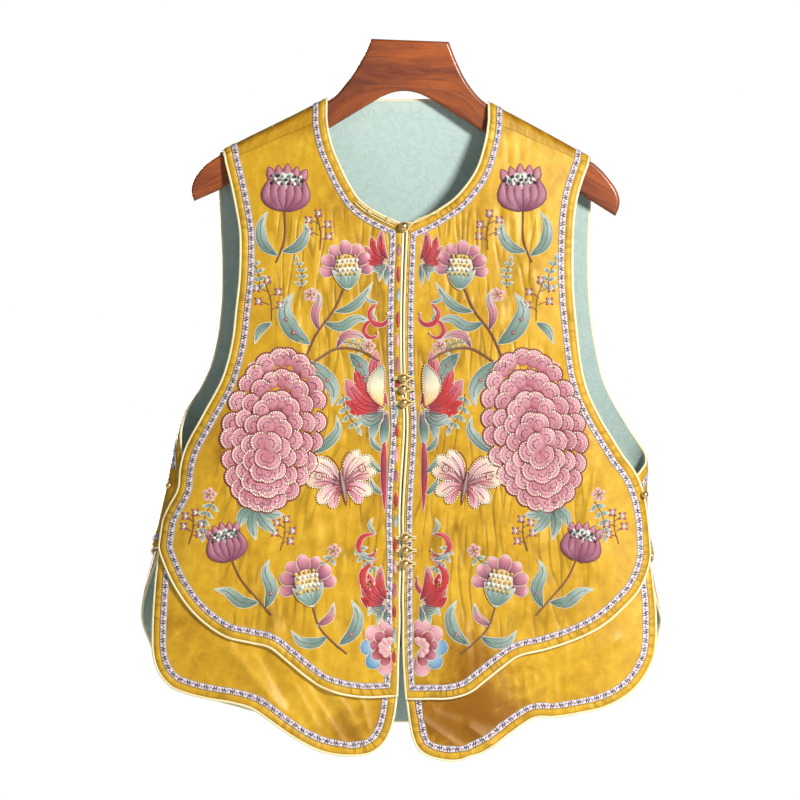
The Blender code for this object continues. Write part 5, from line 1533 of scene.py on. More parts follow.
def make_trims(looks):
    ribbon = ribbon_paint(
        "ribbon_paint", looks.ribbon_ground, looks.ribbon_ink, looks.ribbon_pink, looks.ribbon_plum)
    binding = silk_paint("binding_silk_paint", looks.gold, looks.shade, looks.glow, 0.5)
    # This dark brown silk is painted shade in the grooves at the binding's two sides.
    seam = silk_paint("seam_silk_paint", looks.shade * 0.3, looks.shade * 0.2, looks.shade)
    piping = piping_paint("piping_paint", looks.cream, looks.piping_shade)
    for name, edge in garment().edges.items():
        making = Making()
        strip(making, edge.ribbon_out, edge.ribbon_in, RIBBON_PROFILE)
        making.made("printed_ribbon_" + name, [ribbon], "printed_ribbon", ["ribbon_" + name], TRIM_SHARP)
        making = Making()
        # The binding's outermost faces take the groove paint: painted shade.
        strip(making, edge.piping, edge.ribbon_out, BINDING_PROFILE, seam=1)
        making.made("binding_" + name, [binding, seam], "gold_silk", (), TRIM_SHARP)
        making = Making()
        tube(making, edge.cord, PIPING_RADIUS, 10)
        making.made("cream_piping_" + name, [piping], "cream_piping", ["piping_" + name], TRIM_SHARP)


# ---------------------------------------------------------------- fastenings

SEWN_CORD_RADIUS = 0.75
KNOT_TURNS = 4
KNOT_RADIUS = 2.0
KNOT_THREAD = 0.5
KNOT_SLOPE = unit(np.array([0.9, 0, -0.42]))


def turned_ball(place, radius, lift=0.0):
    """A brass ball button on its shank, with a raised bead round its middle and a small boss on top."""
    point, right, up, out = place
    centre = point + out * (PIPING_RADIUS - FRONT_WALL / 2 + SEAM_GAP + radius + lift)
    points, faces = sphere(24, 20)
    tilt = np.degrees(np.arccos(np.clip(points[:, 2], -1, 1)))
    swell = np.ones(len(points))
    for middle, width, height in ((62, 7, 0.035), (50, 5, -0.05), (0, 14, 0.05)):
        swell += height * np.exp(-(((tilt - middle) / width) ** 2))
    points = centre + points * (swell * radius)[:, None] @ np.array([right, up, out])
    making = Making()
    making.add(points, faces, points[:, [0, 2]])
    tube(making, [centre - out * radius * 0.8, centre - out * (radius + 0.9)], radius * 0.3, 10)
    return making


def wound_knot(place):
    """A few turns of thread wound round the cords that pass a place."""
    point, _, _, out = place
    across = np.cross(KNOT_SLOPE, out)
    turns = np.linspace(0, 2 * math.pi, 17)[:, None]
    ring = KNOT_RADIUS * (np.cos(turns) * across * 1.25 + np.sin(turns) * out)
    making = Making()
    for i in range(KNOT_TURNS):
        along = (i - (KNOT_TURNS - 1) / 2) * KNOT_THREAD * 1.9
        tube(making, point + KNOT_SLOPE * along + out * KNOT_RADIUS * 0.7 + ring, KNOT_THREAD, 6)
    return making


def make_fastenings(looks):
    brass, cord = [looks.brass()], [looks.cord()]
    buttons = {f"chest_{i + 1}": place for i, place in enumerate(CHEST_BUTTONS)}
    buttons.update({f"waist_{i + 1}": place for i, place in enumerate(WAIST_BUTTONS)}, neck=NECK_BUTTON)
    for name, (x, z) in buttons.items():
        radius, heading, length = BALL_RADIUS, 0.0, LOOP_TAIL
        if name == "neck":
            radius, heading, length = NECK_BALL_RADIUS, NECK_CORD_SLOPE, NECK_CORD_LENGTH
        place = point, right, up, out = seat(FRONT_SHEET, x, z)
        ball = turned_ball(place, radius)
        ball.made(f"ball_{name}", brass, "button_brass", [f"button_{name}"], TRIM_SHARP)
        making = Making()
        tube(making, smooth_line(cord_loop(place, radius, heading, length), 70), LOOP_RADIUS)
        if name != "neck":
            # The ball's own cord, sewn down on the other front.
            for rise in (0.6, -1.0):
                sewn = [point + up * rise - right * reach + out * 1.6 for reach in (1, 4, 7, 9.5)]
                tube(making, sewn, SEWN_CORD_RADIUS)
        making.made(f"cord_{name}", cord, "loop_cord", [f"loop_{name}"], TRIM_SHARP)
    making = Making()
    neck = garment().fronts["front_left"][0].outline
    for share in (0.3, 0.62):
        line = neck.piping["neck"] + share * (neck.ribbon_out["neck"] - neck.piping["neck"])
        points, normals = FRONT_SHEET.raised(line[2:18])
        tube(making, points + normals * 1.2, SEWN_CORD_RADIUS)
    making.made("cord_neck_left", cord, "loop_cord", (), TRIM_SHARP)
    for i, (x, z) in enumerate(NECK_KNOTS, 1):
        knot = wound_knot(seat(FRONT_SHEET, x, z + 2.0))
        knot.made(f"wound_knot_{i}", cord, "button_brass", [f"knot_neck_{i}"], TRIM_SHARP)
    on_cloth = FRONT_WALL / 2 - PIPING_RADIUS
    left, right = seat(BACK_SHEET, *SIDE_BUTTON_LEFT, BEFORE), seat(FRONT_SHEET, *SIDE_BUTTON_RIGHT)
    for name, place, lift in (("side_left", left, on_cloth), ("side_right", right, 0.0)):
        ball = turned_ball(place, SIDE_BALL_RADIUS, lift)
        ball.made(f"ball_{name}", brass, "button_brass", [f"button_{name}"], TRIM_SHARP)


# ---------------------------------------------------------------- hanger

HANGER_ROUNDS = 7
HANGER_FLAT = 0.3
ARM_SLOPE = math.tan(math.radians(27))
# The hanger's outline, counterclockwise from its neck, with the number of points on each stretch.
HANGER_OUTLINE = [
    (HANGER_NECK_LEFT, 30), (HANGER_ARM_LEFT, 24), (HANGER_END_LEFT, 28), (HANGER_UNDER[:2], 8),
    (HANGER_UNDER[1:3], 20), (HANGER_UNDER[2:], 10), (HANGER_ARCH, 24), (HANGER_UNDER_RIGHT[:2], 12),
    (HANGER_UNDER_RIGHT[1:3], 20), (HANGER_UNDER_RIGHT[2:], 6), (HANGER_END_RIGHT, 28),
    (HANGER_ARM_RIGHT, 24), (HANGER_NECK_RIGHT, 30),
]


def moved_in_flat(points, distance):
    """A closed outline with its inside on its left, moved in by the distance with mitred corners."""
    steps = unit(np.roll(points, -1, axis=0) - points)
    after = np.column_stack([-steps[:, 1], steps[:, 0]])
    middle = np.roll(after, 1, axis=0) + after
    return points + middle * (distance * 2 / (middle**2).sum(axis=1))[:, None]


def moved_in_clear(outline, distance):
    """The outline moved in, with the points that would cross at its sharp tips drawn back onto the line."""
    line = moved_in_flat(outline, distance)
    count = np.arange(len(line))
    fine = np.arange(0, len(outline), 0.05)
    dense = np.column_stack([np.interp(fine, count, column, period=len(line)) for column in outline.T])
    gaps = np.linalg.norm(line[:, None] - dense[None], axis=2).min(axis=1)
    clear = np.flatnonzero(gaps > 0.95 * distance - 0.01)
    return np.column_stack([np.interp(count, clear, column[clear], period=len(line)) for column in line.T])


def make_hanger(looks):
    parts = [smooth_line(table, count) for table, count in HANGER_OUTLINE]
    outline = np.vstack([part[:-1] for part in parts[:-1]] + [parts[-1]])
    flat = HANGER_HALF_THICKNESS - HANGER_ROUNDING
    levels = [(HANGER_ROUNDING + HANGER_FLAT, -HANGER_HALF_THICKNESS)]
    for turn in np.linspace(math.pi / 2, -math.pi / 2, HANGER_ROUNDS):
        y = flat * np.sign(math.sin(turn)) + HANGER_ROUNDING * math.sin(turn)
        levels.append((HANGER_ROUNDING * (1 - math.cos(turn)), -y))
    levels.append((HANGER_ROUNDING + HANGER_FLAT, HANGER_HALF_THICKNESS))
    rings = [np.insert(moved_in_clear(outline, inset), 1, y, axis=1) for inset, y in levels]
    points = np.vstack(rings)
    far = np.abs(points[:, 0])
    bend = far * ARM_SLOPE * ease((far - 20) / 70)
    threads = np.column_stack([points[:, 0], points[:, 2] + bend + points[:, 1] * 0.8])
    making = Making()
    count = len(outline)
    making.add(points, grid_faces(len(rings), count, closed=True), threads)
    last = (len(rings) - 1) * count
    making.faces += [list(range(count))[::-1], list(range(last, last + count))]
    making.finishes += [0, 0]
    wood = wood_paint("wood_paint", looks.wood_light, looks.wood_dark, looks.wood_line)
    making.made("hanger_board", [wood], "hanger_wood", ["hanger"], TRIM_SHARP)


# ---------------------------------------------------------------- embroidery

# A blade is a raised stitched shape, whose width follows sin(pi * share ** skew) ** fullness
# from its root to its tip.
Form = namedtuple("Form", "skew fullness")
LEAF = Form(0.85, 0.9)
PETAL = Form(1.7, 0.5)
SPEAR = Form(1.0, 0.75)
SCALLOP = Form(1.35, 0.42)
DISC = Form(1.0, 0.5)
BLADE_COLUMNS = 7
SPINE_POINTS = 60
SUNK = 0.25
LAYER = 0.35
CORD_RADIUS = 0.42
BEAD_RADIUS = 0.85
BEAD_PITCH = 2.3
BERRY_SIZE = 4.4
BLOSSOM_SIZE = 6.5
FLOWER_WIDTH = 0.58
FLOWER_TIERS = 5
SCALLOP_SPACING = 14.0
SIXTHS = np.radians(np.arange(0, 360, 60))
# Twice the x of the opening's middle, about which the right front mirrors the left one.
MIRROR = -2.0


class Needlework:
    """The stitching of one front, drawn flat as (x, z, height above the silk) on the left front."""

    def __init__(self, side, threads):
        self.side, self.threads = side, threads
        self.stitched, self.couched, self.beaded = Making(), Making(), Making()
        self.ball = sphere(7, 5)

    def laid(self, points):
        """The flat points' places on the garment."""
        x = points[:, 0] if self.side == "left" else MIRROR - points[:, 0]
        at = np.column_stack([FRONT_SHEET.angle(x, points[:, 1]), points[:, 1]])
        return FRONT_SHEET.point(*at.T) + FRONT_SHEET.normal(at) * points[:, 2:]

    def turned_over(self, faces):
        return faces[:, ::-1] if self.side == "right" else faces

    def blade(self, spine, width, shades, form=LEAF, rise=0.9, layer=0, edge=None, beads=None,
              slant=0.0, stations=13):
        """Satin stitch along a spine, in threads from root to tip, with a cord or beads round it."""
        if isinstance(shades, str):
            shades = [self.threads[name] for name in shades.split()]
        share = (1 - np.cos(np.linspace(0, math.pi, stations))) / 2
        line = read(smooth_line(spine, SPINE_POINTS), share * (SPINE_POINTS - 1))
        ahead = np.gradient(line, axis=0)
        ahead /= np.linalg.norm(ahead, axis=1)[:, None] + 1e-9
        side = np.column_stack([-ahead[:, 1], ahead[:, 0]])
        full = np.sin(math.pi * np.clip(share, 0.002, 0.998) ** form.skew) ** form.fullness
        half = width * full / full.max()
        v = np.sin(np.linspace(-math.pi / 2, math.pi / 2, BLADE_COLUMNS))
        flat = line[:, None] + half[:, None, None] * v[None, :, None] * side[:, None]
        base = layer * LAYER
        lift = (rise + SUNK) * np.sqrt(1 - v[None] ** 2) * np.sqrt(half / width)[:, None] - SUNK + base
        across = half[:, None] * v
        threads = np.stack([lengths_along(line)[:, None] - slant * np.abs(across), across], axis=-1)
        colours = read(np.array(shades), share * (len(shades) - 1))
        colours = np.repeat(colours[:, None], BLADE_COLUMNS, axis=1)
        # Painted shade: the colour darkens towards both sides of the blade, where the stitching falls to
        # the silk.
        colours = colours * (1 - 0.25 * np.abs(v)[None, :, None] ** 3)
        faces = self.turned_over(grid_faces(stations, BLADE_COLUMNS))
        self.stitched.add(np.dstack([flat, lift]), faces, threads, colours.reshape(-1, 3))
        if edge:
            self.cord(np.vstack([flat[:, 0], flat[::-1, -1]]), edge, 0.15 + base, CORD_RADIUS * 0.85)
        if beads:
            root = stations // 3
            self.beads(np.vstack([flat[root:, 0], flat[:root:-1, -1]]), beads, 0.3 + base)

    def cord(self, line, thread, height=0.3, radius=CORD_RADIUS, count=None):
        """A cord couched down along a line, or along a smooth curve of a count of points."""
        line = smooth_line(line, count) if count else line
        line = np.column_stack([line, np.full(len(line), height)])
        tube(self.couched, line, radius, 6, self.threads[thread])

    def beads(self, line, thread, height):
        """Beads sewn along a line."""
        along = lengths_along(line)
        for place in np.arange(BEAD_PITCH / 2, along[-1], BEAD_PITCH):
            x, z = (np.interp(place, along, column) for column in line.T)
            self.bead(x, z, thread, height)

    def bead(self, x, z, thread, height, radius=BEAD_RADIUS):
        points, faces = self.ball
        points = points * radius + [x, z, height + radius * 0.6]
        self.beaded.add(points, self.turned_over(faces[:, ::-1]), dye=self.threads[thread])

    def bead_ring(self, x, z, reach, turns, thread, height, radius):
        for turn in turns:
            self.bead(x + reach * math.cos(turn), z + reach * math.sin(turn), thread, height, radius)

    def finished(self, stitch, cord, bead):
        for making, paint, name in (
            (self.stitched, stitch, "satin_stitch"),
            (self.couched, cord, "couched_cord"),
            (self.beaded, bead, "beads"),
        ):
            making.made(f"{name}_{self.side}", [paint], "gold_silk", move=self.laid)


class Spot:
    """A place in the needlework, with a heading in degrees clockwise from upright and a motif's unit."""

    def __init__(self, work, x, z, heading=0.0, size=1.0):
        self.work, self.x, self.z, self.heading, self.size = work, x, z, heading, size

    def at(self, *places):
        """Flat points for places given as (ahead, to the right), or as a distance straight ahead."""
        pairs = [(place, 0) if np.isscalar(place) else place for place in places]
        ahead, right = np.array(pairs, float).T * self.size
        turn = math.radians(self.heading)
        return np.column_stack([
            self.x + ahead * math.sin(turn) + right * math.cos(turn),
            self.z + ahead * math.cos(turn) - right * math.sin(turn),
        ])

    def turned(self, heading, ahead=0.0, right=0.0, size=1.0):
        x, z = self.at((ahead, right))[0]
        return Spot(self.work, x, z, self.heading + heading, self.size * size)

    def blade(self, places, width, shades, form=LEAF, **finish):
        self.work.blade(self.at(*places), width * self.size, shades, form, **finish)

    def cord(self, places, thread, height, radius, count=None):
        self.work.cord(self.at(*places), thread, height, radius, count)

    def bead(self, place, thread, height, radius):
        x, z = self.at(place)[0]
        self.work.bead(x, z, thread, height, radius)


def carnation(spot):
    """A fan of petals behind a chequered cup, in a calyx."""
    for i in (0, 6, 1, 5, 2, 4, 3):
        lean = i / 3 - 1
        line, shades = (0.25, 0.6, 1.0 - 0.13 * abs(lean)), "plum plum mauve rose blush"
        spot.turned(86 * lean).blade(line, 0.205, shades, PETAL, layer=i % 2, edge="cream")
    spot.blade((-0.2, 0.2, 0.56), 0.40, "straw cream straw", DISC, rise=1.0, layer=2, edge="plum")
    for row in range(5):
        for column in range(5):
            up, aside = row * 0.14, (column - 2) * 0.14
            if math.hypot(up - 0.28, aside) < 0.40:
                thread = "white" if row % 2 else "straw"
                spot.bead((up - 0.1, aside + 0.07 * (row % 2)), thread, 1.5, 0.055 * spot.size)
    for side in (-1, 1):
        for lean, reach in ((0.46, 0.07), (0.30, 0.27), (0.12, 0.05)):
            spot.blade((-0.62, (-0.3, side * lean * 0.5), (reach, side * lean)), 0.10, "teal sage mist",
                       SPEAR, layer=3, edge="cream")


def tulip(spot):
    """A pleated cup under a chequered band and a crown of points."""
    for aside in (-0.38, -0.19, 0, 0.19, 0.38):
        spot.blade(((0.62, aside), (0.9, aside * 1.1), (1.12 - abs(aside) * 0.3, aside * 1.25)), 0.11,
                   "mauve rose", SPEAR, edge="plum")
    spot.blade((0.30, 0.62, 0.92), 0.42, "mist white mist", DISC, rise=0.8, layer=1)
    for row in range(3):
        for column in range(6):
            thread = ("ink", "white", "sage")[(row + column) % 3]
            place = (0.62 + row * 0.09, (column - 2.5) * 0.135 + 0.06 * (row % 2))
            spot.bead(place, thread, 1.1, 0.045 * spot.size)
    plum, mauve, rose = (spot.work.threads[name] for name in ("plum", "mauve", "rose"))
    for i in (0, 5, 1, 4, 2, 3):
        aside = (i - 2.5) * 0.165
        spot.blade(((-0.06, aside * 0.25), (0.26, aside * 1.15), (0.72 + 0.06 * (i % 2), aside)), 0.115,
                   [plum, mauve, mauve * 0.7 + rose * 0.3], SPEAR, rise=1.1, layer=2, edge="plum")


def leaf(work, spine, width, shades="teal sage mist", dots=0):
    """A leaf whose stitches slant from its midrib, with rings of beads on it."""
    work.blade(spine, width, shades, slant=1.3, edge="cream", stations=15)
    vein = smooth_line(spine, 14)
    work.cord(vein[1:-2], "moss", 0.85, CORD_RADIUS * 0.7)
    for x, z in vein[4::3][:dots]:
        work.bead_ring(x, z, 1.5, SIXTHS, "rose", 0.9, 0.7)
        work.bead(x, z, "cream", 1.1, 0.7)


def stem(work, points, radius=0.9):
    work.cord(points, "bark", 0.25, radius, 18)


def berry(work, x, z):
    """A small square bud: four plum corners round a pale middle."""
    for turn in (45, 135, 225, 315):
        berry = Spot(work, x, z, turn, BERRY_SIZE)
        berry.blade((0.1, 0.6, 1.15), 0.34, "rose plum", SPEAR, rise=0.7, stations=9)
    middle = Spot(work, x, z, 0, BERRY_SIZE)
    middle.blade((-0.45, 0, 0.45), 0.42, "white mist", DISC, rise=0.8, layer=1, stations=9)
    work.bead(x, z, "ink", 1.1, 0.5)


def berry_sprig(spot):
    """Buds by turns at each side of a thin stem, and one at its tip."""
    stem(spot.work, spot.at(0, (0.5, 0.05), (1.0, -0.04)), 0.5)
    for i, aside in enumerate((0.26, -0.26, 0.26, -0.26, 0.02)):
        up = 0.35 + 0.1625 * i
        line = spot.at(up - 0.12, (up - 0.05, math.copysign(0.12, aside)), (up, aside))
        stem(spot.work, line, 0.4)
        berry(spot.work, *line[-1])


def blossom(work, x, z):
    """A small five-petalled flower with a cream eye."""
    for turn in range(10, 370, 72):
        spot = Spot(work, x, z, turn, BLOSSOM_SIZE)
        spot.blade((0.1, 0.5, 1.0), 0.36, "wine rose blush", PETAL, rise=0.8, edge="cream", stations=9)
    work.bead_ring(x, z, 1.6, SIXTHS, "straw", 0.8, 0.6)
    work.bead(x, z, "wine", 1.0, 0.8)


def twig(spot):
    """A curved twig with small leaves in pairs and one at its tip."""
    line = smooth_line(spot.at(0, (0.5, 0.08), (1.0, -0.06)), 13)
    stem(spot.work, line[[0, 6, -1]], 0.4)
    small = {"rise": 0.7, "edge": "cream", "stations": 9}
    for i in range(4):
        reach = 0.30 - 0.03 * i
        for side in (-1, 1):
            way = Spot(spot.work, *line[3 * i + 1], spot.heading + side * 52, spot.size)
            leaf = 0.02, (reach * 0.5, -side * 0.02), (reach, side * 0.03)
            way.blade(leaf, 0.062, "teal sage mist", **small)
    way = Spot(spot.work, *line[-1], spot.heading - 6, spot.size)
    way.blade((0, 0.12, 0.26), 0.06, "teal mist", **small)


def scallop(spot, shades, layer):
    """One scallop of the great flower: a fan with cords round its heart and a row of beads."""
    spot.blade((-0.25, 0.35, 1.0), 0.70, shades, SCALLOP, rise=1.1, layer=layer)
    lift = layer * LAYER
    turns = np.radians(np.linspace(-80, 80, 11))
    for ahead, reach, wide, thread, radius, height in (
        (0.20, 0.34, 0.30, "plum", 0.30, 1.15),
        (0.26, 0.52, 0.48, "rose", 0.26, 0.95),
        (0.30, 0.74, 0.75, "wine", 0.85, 0.0),
        (0.28, 0.66, 0.655, "pearl", None, 0.45),
    ):
        arc = spot.at(*zip(ahead + reach * np.cos(turns), wide * np.sin(turns)))
        if radius:
            spot.work.cord(arc, thread, height + lift, radius)
        else:
            spot.work.beads(arc, thread, height + lift)
    for turn in np.radians([-50, -17, 17, 50]):
        up, aside = math.cos(turn), math.sin(turn)
        spot.cord(((0.16, 0.04 * aside), (0.22 + 0.42 * up, 0.42 * aside)), "rose", 1.0 + lift, 0.24, 5)


def great_flower(spot):
    """A tall many-petalled blossom: tiers of scallops that close in on its heart."""
    rng = np.random.default_rng(3 if spot.work.side == "left" else 8)
    wine, rose, blush = (spot.work.threads[name] for name in ("wine", "rose", "blush"))
    disc = (-0.92, 0, 0.92), 0.92 * FLOWER_WIDTH
    spot.blade(*disc, "rose mauve rose", DISC, rise=0.5, layer=-1, stations=21)
    for tier in range(FLOWER_TIERS):
        share = tier / (FLOWER_TIERS - 1)
        reach = 0.88 * (1 - 0.94 * share)
        heart = spot.turned(0, -0.16 * share)
        girth = math.pi * spot.size * reach * (1 + FLOWER_WIDTH)
        count = max(int(girth / SCALLOP_SPACING), 1)
        start = rng.uniform(0, 360)
        for i in range(count):
            turn = math.radians(start + 360 * i / count + rng.uniform(-3, 3))
            up, aside = math.cos(turn), math.sin(turn)
            lean = math.degrees(math.atan2(aside, up * FLOWER_WIDTH + 0.25)) + rng.uniform(-7, 7)
            tone = rng.uniform(0.0, 1.0)
            shades = [
                wine * 0.45 + rose * 0.55,
                rose * (1 - tone * 0.6) + blush * tone * 0.6,
                blush * (0.55 + 0.45 * tone) + rose * 0.45 * (1 - tone),
            ]
            size = rng.uniform(12.5, 15.0) / spot.size
            ahead = reach * up - 0.5 * size * math.cos(math.radians(lean))
            right = reach * FLOWER_WIDTH * aside - 0.5 * size * math.sin(math.radians(lean))
            scallop(heart.turned(lean, ahead, right, size), shades, tier * 0.8 + 0.45 * (i % 2))


def butterfly(spot):
    """Wings of long feathered cells, each edged with beads."""
    for side in (-1, 1):
        for turn, reach, width, shades in (
            (118, 0.86, 0.20, "wine blush cream"),
            (146, 0.74, 0.16, "wine rose blush"),
            (36, 1.06, 0.17, "ash blush cream"),
            (56, 1.12, 0.19, "ash blush cream"),
            (78, 1.0, 0.19, "ash rose cream"),
        ):
            way = spot.turned(side * turn)
            way.blade((0.06, (reach * 0.5, side * -0.07), reach), width, shades, PETAL,
                      layer=0.5 * (turn % 4), edge="wine", beads="pearl")
            way.cord((0.2, (reach * 0.5, side * -0.06), reach * 0.8), "wine", 1.2, 0.35, 8)
        x, z = spot.at((0.34, side * 0.62))[0]
        for ring, thread in ((3.4, "wine"), (1.8, "cream")):
            spot.work.bead_ring(x, z, ring, np.arange(0, 2 * math.pi, 1.5 / ring), thread, 1.3, 0.55)
        feeler = (0.34, (0.7, side * 0.14), (0.86, side * 0.34), (0.78, side * 0.42))
        spot.cord(feeler, "wine", 0.3, 0.4, 14)
    spot.blade((0.42, 0.0, -0.62), 0.075, "wine ash wine", SPEAR, rise=1.5, layer=2)
    for share in np.arange(-0.45, 0.4, 0.075):
        spot.bead(share, "cream", 2.1, 0.6)


def half_lotus(spot, outer=True):
    """Half of an upright blossom that the opening cuts: its petals lean away from the opening."""
    for turn, reach, width, shades in (
        (-98, 0.62, 0.15, "teal sage mist"),
        (-78, 0.86, 0.17, "wine red red"),
        (-57, 1.0, 0.19, "wine red rose"),
        (-36, 1.1, 0.17, "wine red red"),
        (-14, 1.16, 0.15, "wine red rose"),
    ):
        way, layer = spot.turned(turn), 0.5 * (turn % 3)
        wing = 0.1, (reach * 0.5, -0.12), (reach, 0.05)
        way.blade(wing, width, shades, SPEAR, layer=layer, edge="cream")
        for side in (-0.04, 0.04):
            vein = (0.2, side * 0.5 - 0.05), (reach * 0.5, side - 0.115), (reach * 0.82, side * 0.4 - 0.02)
            way.cord(vein, "wine", 0.95 + layer * LAYER, 0.3, 9)
    if outer:
        spot.blade(((0.08, -0.12), (0.42, -0.24), (0.86, -0.12)), 0.17, "straw cream sage", SPEAR, rise=1.2,
                   layer=3, edge="red", beads="cream")
    for lean, drop in ((-0.62, -0.34), (-0.32, -0.6), (-0.1, -0.72)):
        spot.blade(((0, -0.03), (drop * 0.4, lean * 0.8), (drop, lean)), 0.09, "plum teal mist", SPEAR,
                   edge="cream")


def scroll(spot):
    """A curling tendril with a bead in its eye, and a leaf on its back."""
    curl = []
    for share in np.linspace(0, 1.15, 20)[[0, 4, 8, 12, 16, 19]]:
        reach, turn = 1.0 - 0.62 * share, 2 * math.pi * share * 0.62
        curl.append((reach * math.cos(turn) - 1.0 + share * 0.2, -reach * math.sin(turn)))
    spot.blade(curl, 0.16, "red red wine", SPEAR, edge="blush", stations=25)
    spot.bead(curl[-1], "cream", 0.8, 1.1)
    spot.blade(((-0.1, -0.1), (0.35, -0.55), (0.75, -0.5)), 0.12, "teal mist", edge="cream")


def rosette(spot):
    """Half of a round flower with a blue rim, at the foot of the opening."""
    rings = (0, 1.0, "wine rose blush"), (1, 0.68, "red wine rose"), (2, 0.36, "rose blush")
    for ring, reach, shades in rings:
        for i in range(5):
            petal = "wine sky blue" if ring == 0 and i in (1, 2) else shades
            way = spot.turned(-172 + i * 41 + 8 * ring)
            way.blade((0.05, reach * 0.6, reach), 0.30 * reach, petal, PETAL,
                      layer=ring * 1.2 + 0.4 * (i % 2), edge="cream")


def stitch_front(work):
    """The design of one front, from the shoulder down, and the half ornaments beside the opening."""
    # Shoulder tulip with its leaves and sprays of buds.
    stem(work, [(-120, -208), (-113, -190), (-112, -157)])
    leaf(work, [(-118, -202), (-131, -192), (-134, -172), (-128, -160)], 5.5)
    leaf(work, [(-115, -198), (-101, -194), (-92, -180), (-93, -168)], 5.2)
    tulip(Spot(work, -112, -158, 4, 38))
    berry_sprig(Spot(work, -79, -196, -4, 34))
    # Small carnation and its sprig below the neck.
    stem(work, [(-92, -296), (-82, -274), (-66, -252), (-55, -228)], 1.1)
    leaf(work, [(-88, -284), (-104, -272), (-112, -250), (-104, -236)], 8.0, dots=2)
    leaf(work, [(-76, -264), (-60, -268), (-44, -260), (-30, -264)], 5.0)
    leaf(work, [(-66, -254), (-50, -250), (-36, -236), (-30, -226)], 4.4)
    leaf(work, [(-80, -272), (-84, -256), (-80, -240), (-84, -232)], 4.2, "plum rose mist")
    carnation(Spot(work, -54, -216, -4, 29))
    berry_sprig(Spot(work, -124, -262, -8, 38))
    leaf(work, [(-124, -264), (-134, -270), (-140, -284)], 4.0)
    # The great flower over the chest, its boughs and its leaves.
    stem(work, [(-24, -300), (-42, -290), (-62, -288), (-84, -300)], 1.2)
    leaf(work, [(-52, -292), (-40, -306), (-36, -324), (-42, -336)], 7.5, dots=2)
    leaf(work, [(-98, -300), (-80, -310), (-66, -328), (-68, -342)], 8.0, dots=2)
    leaf(work, [(-64, -288), (-56, -276), (-42, -276), (-34, -282)], 4.0, "plum rose mist")
    for lean, reach in ((-66, 1.0), (-34, 1.2), (0, 1.15), (34, 0.9)):
        leaf(work, Spot(work, -140, -432, 178 + lean, 30).at(0.1, (0.6, 0.1), reach), 5.6)
    great_flower(Spot(work, -122, -364, 12, 80))
    leaf(work, [(-86, -386), (-72, -376), (-62, -362), (-64, -350)], 5.0)
    # Butterfly beside the opening.
    butterfly(Spot(work, -58, -414, -10, 33))
    # Tulip and leaves towards the side.
    stem(work, [(-124, -536), (-138, -520), (-153, -502), (-163, -480)])
    leaf(work, [(-136, -524), (-152, -524), (-166, -514), (-178, -512)], 6.0)
    leaf(work, [(-130, -530), (-124, -512), (-130, -494), (-126, -484)], 6.0, dots=1)
    tulip(Spot(work, -163, -484, -14, 32))
    berry_sprig(Spot(work, -201, -470, 10, 30))
    berry_sprig(Spot(work, -116, -476, 10, 30))
    # Carnation above the hem, with a spray on each side.
    stem(work, [(-54, -572), (-66, -562), (-79, -548), (-86, -528)])
    leaf(work, [(-62, -564), (-48, -552), (-44, -534), (-50, -522)], 6.0, dots=1)
    leaf(work, [(-72, -556), (-84, -562), (-98, -560), (-106, -550)], 5.2)
    leaf(work, [(-82, -546), (-70, -538), (-66, -524)], 4.0, "plum rose mist")
    carnation(Spot(work, -90, -510, -12, 31))
    # Small blossoms and twigs between them.
    for place in ((-34, -286), (-88, -238), (-140, -306), (-66, -476), (-182, -424), (-34, -508)):
        blossom(work, *place)
    for place in ((-97, -232, -4, 25), (-44, -470, 150, 30), (-178, -430, 200, 32), (-66, -480, 215, 30),
                  (-36, -292, -60, 24), (-58, -330, 160, 34), (-136, -236, -8, 30)):
        twig(Spot(work, *place))
    # Ornaments that the opening halves.
    half_lotus(Spot(work, -15, -209, 0, 28), outer=False)
    scroll(Spot(work, -25, -244, -20, 16))
    scroll(Spot(work, -25, -262, -160, -13))
    half_lotus(Spot(work, -15, -346, 0, 50))
    work.blade([(-19, -362), (-20, -400), (-19, -440)], 3.2, "red wine red", SPEAR, edge="blush")
    for z in (-384, -404, -424):
        leaf(work, [(-21, z), (-29, z + 7), (-33, z + 17)], 3.0)
    scroll(Spot(work, -26, -482, -16, 25))
    scroll(Spot(work, -26, -460, -160, -17))
    half_lotus(Spot(work, -15, -526, 0, 32), outer=False)
    rosette(Spot(work, -15, -566, 0, 27))


def stitch_border(work):
    """Small spears that carry the ornaments over the left front's border strip."""
    shades = ("plum rose", "red wine", "teal mist", "wine red", "rose blush")
    top, length = -190, 460
    for i, z in enumerate(range(top, -570, -21)):
        x = -5.6 - 5.4 * (top - z) / length
        work.blade([(x, z), (x - 0.2, z - 6), (x - 0.1, z - 13 - 3 * (i % 2))], 1.9, shades[i % 5], SPEAR,
                   rise=0.5, layer=2.4, stations=9)


def make_embroidery(looks):
    stitch, bead = stitch_paint("satin_stitch_paint"), bead_paint("bead_paint")
    cord = dyed_cord_paint("couched_cord_paint")
    threads = {name: np.array(getattr(looks.threads, name)) for name in ThreadLooks.__annotations__}
    # The right front's threads are toned darker than the left's, by the factor 0.88.
    for side, fade in zip(BOTH, (1.0, 0.88)):
        work = Needlework(side, {name: thread * fade for name, thread in threads.items()})
        stitch_front(work)
        if side == "left":
            stitch_border(work)
        work.finished(stitch, cord, bead)


# ---------------------------------------------------------------- stage

CAMERA_DISTANCE = 10.0
SENSOR_WIDTH = 36.0
FRAME_WIDTH = 0.744
FRAME_MIDDLE = (-0.00465, -0.3359)
FRONT_PLANE = -0.036
FLOOR_HEIGHT = -0.82
FLOOR_RADIUS = 0.95
LIT_POINT = Vector((0, 0, -0.34))
